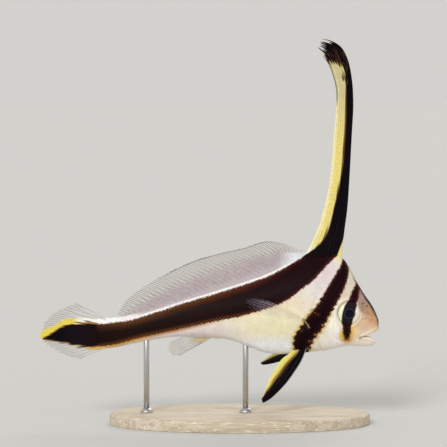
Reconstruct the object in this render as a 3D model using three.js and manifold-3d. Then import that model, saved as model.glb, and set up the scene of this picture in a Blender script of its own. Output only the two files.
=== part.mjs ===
// A subadult jackknife fish, life size, swimming, held over a plain display base by two short rods.
// Millimetres, +Z up, head towards +X, right side towards -Y. The origin lies on the floor, halfway
// between the snout and the tip of the tail, in the fish's own midplane.
import * as THREE from 'three';
import { mergeVertices } from 'three/addons/utils/BufferGeometryUtils.js';
import Module from 'manifold-3d';

const wasm = await Module();
wasm.setup();

// Sizes shared by the whole fish

const GAP = 0.3; // between pieces that touch
const SUNK = 1.3; // how far a fin's root lies inside the flesh before it is trimmed to it
const RIGHT = -1; // the side that faces -Y
const LEFT = 1;

// Cross-sections of the body from the snout to the root of the tail fin. Each has the point of the
// back and of the belly that it passes through, its half width, and how sharply the back is ridged.
const BODY_SECTIONS = [
  { back: [59.8, 37.0], belly: [59.8, 34.6], halfWidth: 1.1, ridge: 1.0 }, // tip of the snout
  { back: [59.1, 38.9], belly: [59.3, 31.4], halfWidth: 2.3, ridge: 1.0 }, // front of the mouth
  { back: [57.7, 41.8], belly: [58.0, 28.0], halfWidth: 3.1, ridge: 1.05 }, // chin
  { back: [54.7, 46.2], belly: [54.0, 27.6], halfWidth: 4.2, ridge: 1.1 }, // corner of the mouth
  { back: [51.7, 51.1], belly: [49.0, 27.7], halfWidth: 5.3, ridge: 1.15 }, // eye
  { back: [49.3, 56.0], belly: [43.5, 26.7], halfWidth: 6.4, ridge: 1.2 }, // forehead
  { back: [46.6, 58.8], belly: [38.0, 25.8], halfWidth: 7.1, ridge: 1.25 }, // nape
  { back: [40.0, 58.7], belly: [32.0, 25.1], halfWidth: 7.4, ridge: 1.3 }, // root of the belly fins
  { back: [33.0, 57.9], belly: [26.0, 24.8], halfWidth: 7.2, ridge: 1.3 }, // back of the spiny fin
  { back: [25.0, 55.2], belly: [20.0, 25.2], halfWidth: 6.7, ridge: 1.3 }, // deepest belly
  { back: [16.5, 51.7], belly: [14.0, 27.4], halfWidth: 6.0, ridge: 1.3 },
  { back: [8.0, 48.9], belly: [7.0, 29.9], halfWidth: 5.3, ridge: 1.3 }, // vent
  { back: [-3.0, 45.5], belly: [-3.0, 31.1], halfWidth: 4.4, ridge: 1.25 },
  { back: [-14.0, 42.1], belly: [-14.0, 30.7], halfWidth: 3.4, ridge: 1.2 },
  { back: [-25.0, 38.8], belly: [-25.0, 28.8], halfWidth: 2.5, ridge: 1.1 }, // narrowest stalk
  { back: [-33.0, 37.7], belly: [-33.0, 27.1], halfWidth: 1.9, ridge: 1.05 },
  { back: [-37.5, 37.4], belly: [-37.5, 26.8], halfWidth: 1.3, ridge: 1.0 },
  { back: [-40.0, 36.2], belly: [-40.0, 27.8], halfWidth: 0.6, ridge: 1.0 }, // end of the flesh
];
const WIDEST_AT = 0.44; // height of the widest level, as a share of a section's height
const BELLY_ROUNDNESS = 0.9; // under 1 is fuller than an ellipse
const BODY_RINGS = 54;
const BODY_SIDES = 26;

// The gill slit parts the head from the trunk, from the nape round the gill cover to the throat.
const GILL_SLIT = [[49.4, 61.0], [48.2, 58.2], [44.8, 54.2], [40.8, 49.2], [37.2, 43.6],
  [35.7, 38.4], [36.4, 33.4], [39.0, 28.6], [41.5, 22.0]];
const SLIT_SHIFT = 0.4; // along X, which leaves about the gap across the slanted slit
const GILL_COVER_RISE = 0.45; // how far the gill cover stands proud of the trunk
const TAIL_CUT = [[-7.4, 50.0], [-8.4, 42.0], [-8.8, 36.0], [-8.2, 26.0]];

// Mouth, in side view: the roof of the gape, its corner, and the hinge line behind the lower jaw
const MOUTH_ROOF = [[62.0, 34.7], [59.2, 33.4], [57.3, 32.5], [56.1, 31.9], [55.0, 31.4], [53.0, 30.9]];
const JAW_HINGE = [[51.6, 29.5], [51.0, 24.0]];
const JAW_TOP = [[60.0, 28.0], [59.0, 28.9], [58.3, 29.7], [57.2, 30.4], [56.1, 30.9], [55.0, 31.0],
  [53.3, 30.6]];
const UPPER_LIP = [[54.2, 31.6], [55.8, 32.2], [57.4, 33.0], [58.5, 33.6], [59.0, 33.9]];
const LOWER_LIP = [[54.2, 30.5], [55.6, 30.6], [56.8, 30.2], [57.7, 29.6], [58.2, 29.1]];
const LIP_RADIUS = 0.5;
const LIP_RISE = 0.1; // how far the lower lip stands above the jaw's edge
const LIP_SUNK = 0.2; // how far a lip's centre lies inside the skin

const EYE_CENTRE = [48.9, 39.7]; // x, z
const EYE_RADIUS = 4.3;
const EYE_OUT = 5.0; // from the midplane to the eyeball's centre
const EYE_HALF_DEPTH = 1.5;
const EYE_TURN = THREE.MathUtils.degToRad(12); // the eyes look a little forwards
const CORNEA_RADIUS = 2.9;
const CORNEA_RISE = 0.25;
const RIM_RADIUS = 0.5; // of the raised skin round each eye
const RIM_OUT = 0.35; // from the eyeball's centre out to the rim's
const NOSTRILS = [[54.2, 42.9], [55.7, 41.9]]; // x, z of the back and the front one
const NOSTRIL_RADIUS = 0.38;
const NOSTRIL_DEPTH = 0.7;

// Spiny dorsal fin, the tall blade: its front and back edges from root to tip
const BLADE_SPINES = 10;
const BLADE_ROWS = 20;
const BLADE_TIP_Z = 103; // its hooked tip is a piece of its own above this level
const BLADE_FRONT = [[46.6, 57.4], [46.9, 61.0], [47.8, 68.8], [48.8, 77.0], [49.5, 88.0],
  [50.2, 102.0], [50.7, 113.0], [50.2, 121.5], [48.7, 128.6], [46.3, 132.9], [41.6, 135.4]];
const BLADE_BACK = [[31.2, 56.6], [34.2, 60.7], [37.4, 66.6], [39.8, 73.4], [41.9, 81.9], [43.1, 90.0],
  [43.9, 100.0], [44.7, 111.0], [44.8, 117.2], [43.5, 123.0], [41.2, 128.2], [38.2, 132.2]];
const BLADE_FRAY = 1.3; // how far a spine's tip passes the web beside it

// Soft dorsal fin: for a few rays, the x of the root and the x and z of the tip
const SAIL_RAYS = 44;
const SAIL_SHIFT = 0.4; // along X, behind the slanted back edge of the blade
const SAIL_KEYS = [[-28.0, -32.4, 38.6], [-21.3, -29.2, 43.7], [-15.1, -25.8, 46.7], [-2.7, -17.4, 51.9],
  [9.7, -6.6, 57.2], [21.5, 3.0, 60.2], [27.8, 12.0, 62.2], [31.0, 20.0, 64.7], [33.6, 31.0, 63.3]];

const ANAL_RAYS = 8;
const ANAL_KEYS = [[-6.3, -14.0, 28.8], [-4.0, -14.9, 26.3], [-1.2, -14.0, 24.3], [3.2, -11.0, 23.7]];

// Tail fin: for a few rays from top to bottom, the z of the root and the x and z of the tip
const TAIL_RAYS = 17;
const TAIL_ROOT_X = -36.4;
const TAIL_KEYS = [[26.9, -45.6, 22.8], [28.2, -51.4, 24.4], [29.9, -56.2, 27.3], [32.2, -60.05, 31.0],
  [34.3, -58.2, 35.9], [35.9, -53.8, 39.9], [37.3, -46.6, 43.0]];

// Belly fins: front and back edge in side view, and how far out to the side the tip lies
const BELLY_FIN_RAYS = 6;
const BELLY_FIN_FRONT = [[34.6, 27.4], [32.4, 22.4], [30.0, 18.6], [27.6, 15.2], [24.6, 11.8],
  [21.7, 9.1], [18.8, 7.3]];
const BELLY_FIN_BACK = [[30.0, 27.4], [28.1, 25.0], [25.8, 23.2], [23.4, 19.8], [21.7, 16.9],
  [20.2, 13.0], [18.5, 8.6]];
const BELLY_FIN_ROOT_Y = 2.9;
const BELLY_FIN_REACH_Y = 4.2;
const BELLY_FIN_CAMBER = 0.8;
const LEFT_BELLY_FIN_SPREAD = THREE.MathUtils.degToRad(58); // this one is held out to the side

// Breast fins: for a few rays from bottom to top, the x and z of the root, then of the tip
const BREAST_RAYS = 14;
const BREAST_KEYS = [[0, 34.9, 33.8, 26.0, 31.6], [0.2, 34.8, 34.6, 20.4, 32.9],
  [0.42, 34.6, 35.5, 16.2, 36.0], [0.66, 34.4, 36.4, 13.4, 40.6], [0.88, 34.2, 37.2, 12.7, 44.4],
  [1, 34.1, 37.7, 15.6, 45.6]];
const BREAST_ROOT_Y = 6.4;
const BREAST_REACH_Y = 4.0;

// Display stand
const BASE_LENGTH = 92;
const BASE_WIDTH = 49;
const BASE_THICKNESS = 4;
const BASE_CENTRE_X = 11;
const BASE_BEVEL = 0.8;
const ROD_RADIUS = 1.0;
const ROD_SOCKET_DEPTH = 2.5;
const FRONT_ROD_X = 13;
const REAR_ROD_X = -22;

// Small helpers

const at = ([x, z], y = 0) => new THREE.Vector3(x, y, z);

function smoothstep(from, to, x) {
  const t = THREE.MathUtils.clamp((x - from) / (to - from), 0, 1);
  return t * t * (3 - 2 * t);
}

// The values beside x in a table whose rows start with a rising x, along smooth curves.
function between(rows, x) {
  const last = rows.length - 2;
  let i = 0;
  while (i < last && x > rows[i + 1][0]) i += 1;
  const [r1, r2] = [rows[i], rows[i + 1]];
  const [r0, r3] = [rows[Math.max(i - 1, 0)], rows[Math.min(i + 2, last + 1)]];
  const span = r2[0] - r1[0];
  const t = (x - r1[0]) / span;
  return r1.slice(1).map((v, k) => {
    const [v0, v2, v3] = [r0[k + 1], r2[k + 1], r3[k + 1]];
    const m1 = (v2 - v0) / (r2[0] - r0[0]) * span;
    const m2 = (v3 - v) / (r3[0] - r1[0]) * span;
    const [t2, t3] = [t * t, t * t * t];
    return (2 * t3 - 3 * t2 + 1) * v + (t3 - 2 * t2 + t) * m1 + (3 * t2 - 2 * t3) * v2 + (t3 - t2) * m2;
  });
}

const curveThrough = (points) => new THREE.CatmullRomCurve3(points.map((p) => at(p)), false, 'centripetal');

// Solids: three.js shapes turned into closed solids that can be cut and joined

function closedSolid(positions, triangles) {
  const make = (tris) => new wasm.Manifold(new wasm.Mesh({
    numProp: 3, vertProperties: new Float32Array(positions), triVerts: new Uint32Array(tris),
  }));
  const made = make(triangles);
  if (made.volume() > 0) return made;
  const turned = [];
  for (let i = 0; i < triangles.length; i += 3) {
    turned.push(triangles[i], triangles[i + 2], triangles[i + 1]);
  }
  return make(turned);
}

function solidOf(geometry) {
  const bare = geometry.clone();
  bare.deleteAttribute('normal');
  bare.deleteAttribute('uv');
  const merged = mergeVertices(bare, 1e-4);
  const kept = [];
  for (let i = 0; i < merged.index.count; i += 3) {
    const [a, b, c] = [0, 1, 2].map((k) => merged.index.getX(i + k));
    if (a !== b && b !== c && c !== a) kept.push(a, b, c);
  }
  return closedSolid(merged.attributes.position.array, kept);
}

const largest = (solid) => solid.decompose().sort((a, b) => b.volume() - a.volume())[0];

function geometryOf(solid) {
  const mesh = solid.getMesh();
  const geometry = new THREE.BufferGeometry();
  geometry.setAttribute('position', new THREE.BufferAttribute(Float32Array.from(mesh.vertProperties), 3));
  geometry.setIndex(new THREE.BufferAttribute(Uint32Array.from(mesh.triVerts), 1));
  const faceted = geometry.toNonIndexed();
  faceted.computeVertexNormals();
  return faceted;
}

// A prism right through the fish, whose outline is given in side view.
function prism(outline) {
  const depth = 80;
  const shape = new THREE.Shape(outline.map(([x, z]) => new THREE.Vector2(x, z)));
  const geometry = new THREE.ExtrudeGeometry(shape, { depth, bevelEnabled: false });
  geometry.rotateX(Math.PI / 2);
  geometry.translate(0, depth / 2, 0);
  return solidOf(geometry);
}

const finer = (points, steps) => curveThrough(points).getPoints(steps).map((p) => [p.x, p.z]);

// Body

const backCurve = curveThrough(BODY_SECTIONS.map((s) => s.back));
const bellyCurve = curveThrough(BODY_SECTIONS.map((s) => s.belly));
const widthKeys = BODY_SECTIONS.map((s, i) => [i / (BODY_SECTIONS.length - 1), s.halfWidth, s.ridge]);

// A closed loft through the sections. All of it is grown by grow, and puff(x) adds to its width.
function bodyLoft(grow = 0, puff = () => 0) {
  const positions = [];
  const triangles = [];
  const ring = (k, j) => 1 + k * BODY_SIDES + (j % BODY_SIDES);
  const middle = (t) => backCurve.getPoint(t).lerp(bellyCurve.getPoint(t), 1 - WIDEST_AT);
  positions.push(...middle(0).add(at([grow + 0.2, 0])).toArray());
  for (let k = 0; k < BODY_RINGS; k += 1) {
    const t = k / (BODY_RINGS - 1);
    const up = backCurve.getPoint(t).sub(bellyCurve.getPoint(t));
    const [halfWidth, ridge] = between(widthKeys, t);
    const centre = middle(t);
    const width = halfWidth + grow + puff(centre.x);
    const lift = up.clone().normalize();
    for (let j = 0; j < BODY_SIDES; j += 1) {
      const angle = j / BODY_SIDES * 2 * Math.PI;
      const [c, s] = [Math.cos(angle), Math.sin(angle)];
      const height = up.length() * (s > 0 ? 1 - WIDEST_AT : WIDEST_AT) + grow;
      const y = Math.sign(c) * Math.abs(c) ** (s > 0 ? ridge : BELLY_ROUNDNESS) * width;
      positions.push(...lift.clone().multiplyScalar(s * height).add(centre).setY(y).toArray());
    }
  }
  const tail = positions.length / 3;
  positions.push(...middle(1).sub(at([grow + 0.2, 0])).toArray());
  for (let j = 0; j < BODY_SIDES; j += 1) {
    triangles.push(0, ring(0, j), ring(0, j + 1));
    triangles.push(tail, ring(BODY_RINGS - 1, j + 1), ring(BODY_RINGS - 1, j));
    for (let k = 0; k < BODY_RINGS - 1; k += 1) {
      triangles.push(ring(k, j), ring(k + 1, j), ring(k, j + 1));
      triangles.push(ring(k, j + 1), ring(k + 1, j), ring(k + 1, j + 1));
    }
  }
  return closedSolid(positions, triangles);
}

const gillCoverPuff = (x) => GILL_COVER_RISE * (1 - smoothstep(36, 47, x));
const flesh = bodyLoft();
const headFlesh = bodyLoft(0, gillCoverPuff);
const clearOfFlesh = bodyLoft(GAP);
const clearOfHead = bodyLoft(GAP, gillCoverPuff);

const slit = finer(GILL_SLIT, 24);
const slitBehind = slit.map(([x, z]) => [x - SLIT_SHIFT, z]);
const tailCut = finer(TAIL_CUT, 6);
const tailCutBehind = tailCut.map(([x, z]) => [x - GAP, z]);
const topFront = [80, 61];
const bottomFront = [80, 22];

// A U of lip in the skin, from one corner of the mouth round the front to the other.
function lip(line) {
  const side = line.map(([x, z], i) => (
    new THREE.Vector3(x, i < line.length - 1 ? halfWidthAt(x, z) - LIP_SUNK : 0, z)));
  const mirrored = side.slice(0, -1).reverse().map((p) => new THREE.Vector3(p.x, -p.y, p.z));
  const section = new THREE.Shape().absarc(0, 0, LIP_RADIUS, 0, 2 * Math.PI);
  const path = new THREE.CatmullRomCurve3([...side, ...mirrored], false, 'centripetal');
  return solidOf(new THREE.ExtrudeGeometry(section, { extrudePath: path, steps: 18, curveSegments: 4 }));
}

// An eyeball, turned about its own axis: a flattened ball with a raised cornea in front.
function eyeball(grow = 0) {
  const profile = [];
  const steps = 10;
  for (let i = 0; i <= steps; i += 1) {
    const angle = (i / steps - 0.5) * Math.PI;
    const r = Math.max(Math.cos(angle) * (EYE_RADIUS + grow), 0);
    const front = angle > 0 ? 1 - smoothstep(CORNEA_RADIUS - 0.6, CORNEA_RADIUS + 0.4, r) : 0;
    const out = Math.sin(angle) * (EYE_HALF_DEPTH + grow) + CORNEA_RISE * front;
    profile.push(new THREE.Vector2(i % steps === 0 ? 0 : r, out));
  }
  return new THREE.LatheGeometry(profile, 22);
}

// Sets a shape whose axis is +Y, looking out of the head, into the eye's place on one side.
function atEye(geometry, side) {
  geometry.rotateZ(side === RIGHT ? Math.PI + EYE_TURN : -EYE_TURN);
  geometry.translate(EYE_CENTRE[0], side * EYE_OUT, EYE_CENTRE[1]);
  return solidOf(geometry);
}

function eyeRim(side) {
  const torus = new THREE.TorusGeometry(EYE_RADIUS + GAP, RIM_RADIUS, 6, 28);
  torus.rotateX(Math.PI / 2);
  torus.translate(0, RIM_OUT, 0);
  return atEye(torus, side);
}

function nostril([x, z], side) {
  const drill = new THREE.CylinderGeometry(NOSTRIL_RADIUS, NOSTRIL_RADIUS * 0.8, 6, 8);
  drill.translate(x, 0, z);
  const skinY = halfWidthAt(x, z) - NOSTRIL_DEPTH + 3;
  drill.translate(0, side * skinY, 0);
  return solidOf(drill);
}

// Half the head's width at a point of the side view, from a thin probe along Y.
function halfWidthAt(x, z) {
  const reach = 12;
  const probe = new THREE.BoxGeometry(0.02, 2 * reach, 0.02);
  probe.translate(x, 0, z);
  return headFlesh.intersect(solidOf(probe)).boundingBox().max[1];
}

function head() {
  const mouthWindow = prism([...MOUTH_ROOF, ...JAW_HINGE, [62, 24]]);
  let solid = headFlesh.intersect(prism([...slit, bottomFront, topFront]));
  for (const side of [RIGHT, LEFT]) solid = solid.add(eyeRim(side));
  solid = solid.subtract(mouthWindow).add(lip(UPPER_LIP));
  for (const side of [RIGHT, LEFT]) {
    solid = solid.subtract(atEye(eyeball(GAP), side));
    for (const place of NOSTRILS) solid = solid.subtract(nostril(place, side));
  }
  return largest(solid);
}

function lowerJaw() {
  const hingeFront = JAW_HINGE.map(([x, z]) => [x + SLIT_SHIFT, z]);
  const jaw = flesh.intersect(prism([...JAW_TOP, ...hingeFront, [60, 24]]));
  const lipTop = JAW_TOP.slice(2).map(([x, z]) => [x, z + LIP_RISE]);
  const open = prism([[62, 34.7], [62, 29.6], ...lipTop, [53.0, 34.0]]);
  return largest(jaw.add(lip(LOWER_LIP)).subtract(open));
}

function torso() {
  return largest(flesh.intersect(prism([...slitBehind, [20, 10], ...tailCut.slice().reverse(), [20, 70]])));
}

function tailStalk() {
  return largest(flesh.intersect(prism([...tailCutBehind, [-60, 20], [-60, 50]])));
}

// Fins

// A closed web with a ridge for each ray, from point(s, t): s runs from the first ray to the last and
// t from root to margin. web(t) is half the web's thickness, ridge(t) is how far each ray stands out
// of each face, and fray is how much shorter the web is than the rays.
function fin({ rays, rows, point, web, ridge, fray = 0 }) {
  const columns = 2 * rays - 1;
  const positions = [];
  const triangles = [];
  const step = 1e-3;
  const faceSize = columns * (rows + 1);
  for (const face of [1, -1]) {
    for (let i = 0; i < columns; i += 1) {
      const s = i / (columns - 1);
      const onRay = i % 2 === 0;
      const reach = onRay ? 1 - 0.25 * fray * (1 + Math.sin(2.4 * i)) : 1 - fray;
      for (let k = 0; k <= rows; k += 1) {
        const t = k / rows * reach;
        const p = point(s, t);
        const across = point(Math.min(s + step, 1), t).sub(point(Math.max(s - step, 0), t));
        const along = point(s, Math.min(t + step, 1)).sub(point(s, Math.max(t - step, 0)));
        const normal = across.cross(along).normalize();
        const half = web(t) + (onRay ? ridge(t) : 0);
        positions.push(...p.addScaledVector(normal, face * half).toArray());
      }
    }
  }
  const id = (face, i, k) => face * faceSize + i * (rows + 1) + k;
  const quad = (a, b, c, d) => triangles.push(a, b, c, a, c, d);
  for (let i = 0; i < columns - 1; i += 1) {
    for (let k = 0; k < rows; k += 1) {
      quad(id(0, i, k), id(0, i, k + 1), id(0, i + 1, k + 1), id(0, i + 1, k));
      triangles.push(id(1, i, k), id(1, i + 1, k + 1), id(1, i, k + 1));
      triangles.push(id(1, i, k), id(1, i + 1, k), id(1, i + 1, k + 1));
    }
    quad(id(0, i, 0), id(0, i + 1, 0), id(1, i + 1, 0), id(1, i, 0));
    quad(id(0, i, rows), id(1, i, rows), id(1, i + 1, rows), id(0, i + 1, rows));
  }
  const end = columns - 1;
  for (let k = 0; k < rows; k += 1) {
    quad(id(0, 0, k), id(1, 0, k), id(1, 0, k + 1), id(0, 0, k + 1));
    quad(id(0, end, k), id(0, end, k + 1), id(1, end, k + 1), id(1, end, k));
  }
  return closedSolid(positions, triangles);
}

const fading = (atRoot, atMargin, power = 1) => (t) => atRoot + (atMargin - atRoot) * t ** power;

// Height of the back or the belly at x, from the curves of the side view.
function outlineZ(curve, x) {
  const samples = curve.getPoints(240).filter((p) => p.x < 47);
  return samples.reduce((best, p) => (Math.abs(p.x - x) < Math.abs(best.x - x) ? p : best)).z;
}

const trimmed = (solid) => largest(solid.subtract(clearOfFlesh));

function spinyDorsal() {
  const front = curveThrough(BLADE_FRONT);
  const back = curveThrough(BLADE_BACK);
  const blade = fin({
    rays: BLADE_SPINES,
    rows: BLADE_ROWS,
    fray: BLADE_FRAY / back.getLength(),
    point: (s, t) => front.getPointAt(t).lerp(back.getPointAt(t), s),
    web: fading(0.55, 0.26, 0.5),
    ridge: fading(0.3, 0.12),
  });
  const above = (z) => prism([[20, z], [70, z], [70, 150], [20, 150]]);
  const lower = trimmed(blade.subtract(above(BLADE_TIP_Z - GAP)));
  return { lower, tip: largest(blade.intersect(above(BLADE_TIP_Z))) };
}

function softDorsal() {
  const first = SAIL_KEYS[0][0];
  const span = SAIL_KEYS.at(-1)[0] - first;
  const bow = 0.05; // how far a ray curves, as a share of its length
  const point = (s, t) => {
    const rootX = first + span * s;
    const [tipX, tipZ] = between(SAIL_KEYS, rootX);
    const root = at([rootX, outlineZ(backCurve, rootX) - SUNK]);
    const ray = at([tipX, tipZ]).sub(root);
    const rise = Math.sin(Math.PI * t) * bow;
    return root.add(at([ray.x * t - ray.z * rise * RIGHT, ray.z * t + ray.x * rise * RIGHT]));
  };
  const web = fin({
    rays: SAIL_RAYS, rows: 4, fray: 0.03, point, web: fading(0.75, 0.25, 0.45), ridge: fading(0.08, 0.16),
  });
  const bladeEdge = finer(BLADE_BACK.slice(0, 4), 10).map(([x, z]) => [x - SAIL_SHIFT, z]);
  return trimmed(web.subtract(prism([...bladeEdge, [60, 74], [60, 50]])));
}

function analFin() {
  const first = ANAL_KEYS[0][0];
  const span = ANAL_KEYS.at(-1)[0] - first;
  const point = (s, t) => {
    const rootX = first + span * s;
    const [tipX, tipZ] = between(ANAL_KEYS, rootX);
    return at([rootX, outlineZ(bellyCurve, rootX) + SUNK]).lerp(at([tipX, tipZ]), t);
  };
  return trimmed(fin({
    rays: ANAL_RAYS, rows: 6, fray: 0.05, point, web: fading(0.6, 0.25, 0.5), ridge: fading(0.2, 0.12),
  }));
}

function tailFin() {
  const first = TAIL_KEYS[0][0];
  const span = TAIL_KEYS.at(-1)[0] - first;
  const point = (s, t) => {
    const rootZ = first + span * s;
    const [tipX, tipZ] = between(TAIL_KEYS, rootZ);
    return at([TAIL_ROOT_X, rootZ]).lerp(at([tipX, tipZ]), t);
  };
  return trimmed(fin({
    rays: TAIL_RAYS, rows: 8, fray: 0.035, point, web: fading(0.9, 0.26, 0.6), ridge: fading(0.1, 0.14),
  }));
}

function bellyFin(side) {
  const front = curveThrough(BELLY_FIN_FRONT);
  const back = curveThrough(BELLY_FIN_BACK);
  const rootMiddle = at([32.3, 26.2], side * BELLY_FIN_ROOT_Y);
  const spread = side === LEFT ? LEFT_BELLY_FIN_SPREAD : 0;
  const point = (s, t) => {
    const p = front.getPointAt(t).lerp(back.getPointAt(t), s);
    const camber = Math.sin(Math.PI * s) * Math.sin(Math.PI * t) * BELLY_FIN_CAMBER;
    p.y = side * (BELLY_FIN_ROOT_Y + BELLY_FIN_REACH_Y * t ** 1.2 + camber);
    return p.sub(rootMiddle).applyAxisAngle(new THREE.Vector3(1, 0, 0), spread).add(rootMiddle);
  };
  return trimmed(fin({
    rays: BELLY_FIN_RAYS, rows: 12, fray: 0.02, point, web: fading(0.6, 0.26, 0.5), ridge: fading(0.25, 0.1),
  }));
}

function breastFin(side) {
  const point = (s, t) => {
    const [rootX, rootZ, tipX, tipZ] = between(BREAST_KEYS, s);
    const p = at([rootX, rootZ]).lerp(at([tipX, tipZ]), t);
    p.y = side * (BREAST_ROOT_Y + BREAST_REACH_Y * t - 0.8 * Math.sin(Math.PI * s) * t);
    return p;
  };
  const web = fin({
    rays: BREAST_RAYS, rows: 6, fray: 0.03, point, web: fading(0.42, 0.25, 0.7), ridge: fading(0.12, 0.1),
  });
  const gillCover = clearOfHead.intersect(prism([...slit, bottomFront, topFront]));
  return largest(web.subtract(clearOfFlesh).subtract(gillCover));
}

// Stand

function standRod(x) {
  const [bottom, top] = [BASE_THICKNESS - ROD_SOCKET_DEPTH + GAP, 34];
  const rod = new THREE.CylinderGeometry(ROD_RADIUS, ROD_RADIUS, top - bottom, 20);
  rod.rotateX(Math.PI / 2);
  rod.translate(x, 0, (top + bottom) / 2);
  return largest(solidOf(rod).subtract(clearOfFlesh));
}

function standBase() {
  const radii = [BASE_LENGTH / 2 - BASE_BEVEL, BASE_WIDTH / 2 - BASE_BEVEL];
  const outline = new THREE.Shape().absellipse(0, 0, ...radii, 0, 2 * Math.PI);
  const plate = new THREE.ExtrudeGeometry(outline, {
    depth: BASE_THICKNESS - 2 * BASE_BEVEL,
    bevelThickness: BASE_BEVEL,
    bevelSize: BASE_BEVEL,
    bevelSegments: 2,
    curveSegments: 28,
  });
  plate.translate(BASE_CENTRE_X, 0, BASE_BEVEL);
  let solid = solidOf(plate);
  for (const x of [FRONT_ROD_X, REAR_ROD_X]) {
    const socket = new THREE.CylinderGeometry(ROD_RADIUS + GAP, ROD_RADIUS + GAP, 2 * ROD_SOCKET_DEPTH, 20);
    socket.rotateX(Math.PI / 2);
    socket.translate(x, 0, BASE_THICKNESS);
    solid = solid.subtract(solidOf(socket));
  }
  return solid;
}

// Finishes: colour, roughness and metalness of each named piece

const SILVER_SKIN = { color: 0xe9e2cf, roughness: 0.42, metalness: 0 };
const BLACK_BLADE = { color: 0x2a1a1c, roughness: 0.5, metalness: 0 };
const CLEAR_WEB = { color: 0xcfcabf, roughness: 0.4, metalness: 0 };
const GLOSSY_EYE = { color: 0x16141c, roughness: 0.08, metalness: 0 };
const LIMED_WOOD = { color: 0xd9cdb8, roughness: 0.6, metalness: 0 };
const STEEL_ROD = { color: 0xb9bcc0, roughness: 0.3, metalness: 1 };

const fish = new THREE.Group();

function place(name, solid, finish) {
  const mesh = new THREE.Mesh(geometryOf(solid), new THREE.MeshStandardMaterial(finish));
  mesh.name = name;
  fish.add(mesh);
}

place('head', head(), SILVER_SKIN);
place('lower_jaw', lowerJaw(), SILVER_SKIN);
place('torso', torso(), SILVER_SKIN);
place('tail_stalk', tailStalk(), SILVER_SKIN);
place('tail_fin', tailFin(), BLACK_BLADE);
const blade = spinyDorsal();
place('dorsal_fin_spiny', blade.lower, BLACK_BLADE);
place('dorsal_fin_spiny_tip', blade.tip, BLACK_BLADE);
place('dorsal_fin_soft', softDorsal(), CLEAR_WEB);
place('anal_fin', analFin(), CLEAR_WEB);
for (const [word, side] of [['right', RIGHT], ['left', LEFT]]) {
  place(`pelvic_fin_${word}`, bellyFin(side), BLACK_BLADE);
  place(`pectoral_fin_${word}`, breastFin(side), CLEAR_WEB);
  place(`eye_${word}`, atEye(eyeball(), side), GLOSSY_EYE);
}
place('stand_base', standBase(), LIMED_WOOD);
place('stand_rod_front', standRod(FRONT_ROD_X), STEEL_ROD);
place('stand_rod_rear', standRod(REAR_ROD_X), STEEL_ROD);

export default fish;
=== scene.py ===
# %% [markdown]
# # A young jackknife fish on a display stand
#
# The fish is *Equetus lanceolatus*, a small reef drum, 120 mm long. It swims level, so two thin
# rods hold it over an oval base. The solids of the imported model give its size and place, and this
# lesson dresses them: one unbroken skin over head, jaw, trunk and tail stalk, then the fins with
# their rays, the eyes and the stand. Lengths are in millimetres until a mesh is made, because a
# fish of this size is easier to read that way.

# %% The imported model
import math

import bpy
import numpy as np
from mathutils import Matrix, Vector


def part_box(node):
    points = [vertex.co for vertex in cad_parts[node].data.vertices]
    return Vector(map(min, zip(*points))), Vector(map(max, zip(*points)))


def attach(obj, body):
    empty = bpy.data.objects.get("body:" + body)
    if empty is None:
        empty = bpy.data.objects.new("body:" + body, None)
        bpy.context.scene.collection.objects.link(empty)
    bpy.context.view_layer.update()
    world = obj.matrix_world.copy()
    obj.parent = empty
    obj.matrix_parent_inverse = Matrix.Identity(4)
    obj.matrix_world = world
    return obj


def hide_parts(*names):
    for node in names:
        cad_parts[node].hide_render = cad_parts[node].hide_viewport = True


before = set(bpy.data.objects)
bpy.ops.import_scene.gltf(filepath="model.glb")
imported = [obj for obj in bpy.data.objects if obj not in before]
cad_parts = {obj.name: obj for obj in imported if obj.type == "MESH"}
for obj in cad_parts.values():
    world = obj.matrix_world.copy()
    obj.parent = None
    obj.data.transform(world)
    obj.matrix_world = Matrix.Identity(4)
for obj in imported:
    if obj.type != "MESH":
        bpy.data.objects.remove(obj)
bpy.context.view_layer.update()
MM = 0.001

# %% [markdown]
# ## Camera
#
# The picture is a level side view of the right flank, a little from above, through a long lens.
# The view is 157 mm wide at the fish, and the whole blade of the first dorsal fin fits in it.

# %% Camera
AIM = (5.2, 0.0, 70.9)
VIEW_WIDTH = 157.3
LENS = 200.0
SENSOR = 36.0
CAMERA_TILT = math.radians(3.5)
CAMERA_DISTANCE = VIEW_WIDTH * LENS / SENSOR

camera = bpy.data.objects.new("camera", bpy.data.cameras.new("camera"))
camera.data.lens = LENS
camera.data.sensor_width = SENSOR
camera.data.clip_start = 0.05
camera.data.clip_end = 20.0
camera.location = (
    AIM[0] * MM,
    (AIM[1] - CAMERA_DISTANCE * math.cos(CAMERA_TILT)) * MM,
    (AIM[2] + CAMERA_DISTANCE * math.sin(CAMERA_TILT)) * MM,
)
camera.rotation_euler = (math.pi / 2 - CAMERA_TILT, 0, 0)
bpy.context.collection.objects.link(camera)
bpy.context.scene.camera = camera
print("camera distance in mm:", round(CAMERA_DISTANCE))

# %% [markdown]
# ## Curves, colours and meshes
#
# A few helpers carry the whole lesson. A smooth curve through chosen points gives every outline.
# A colour is written as the hex value that a paint chart would give, and one function makes it
# linear. A mesh is built from arrays of points, because formulas give a fish's skin and rays more
# evenly than boxes pushed by hand. What a surface looks like at a point, such as how far it lies
# inside a dark band, is stored on the mesh and read by the materials.


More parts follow.
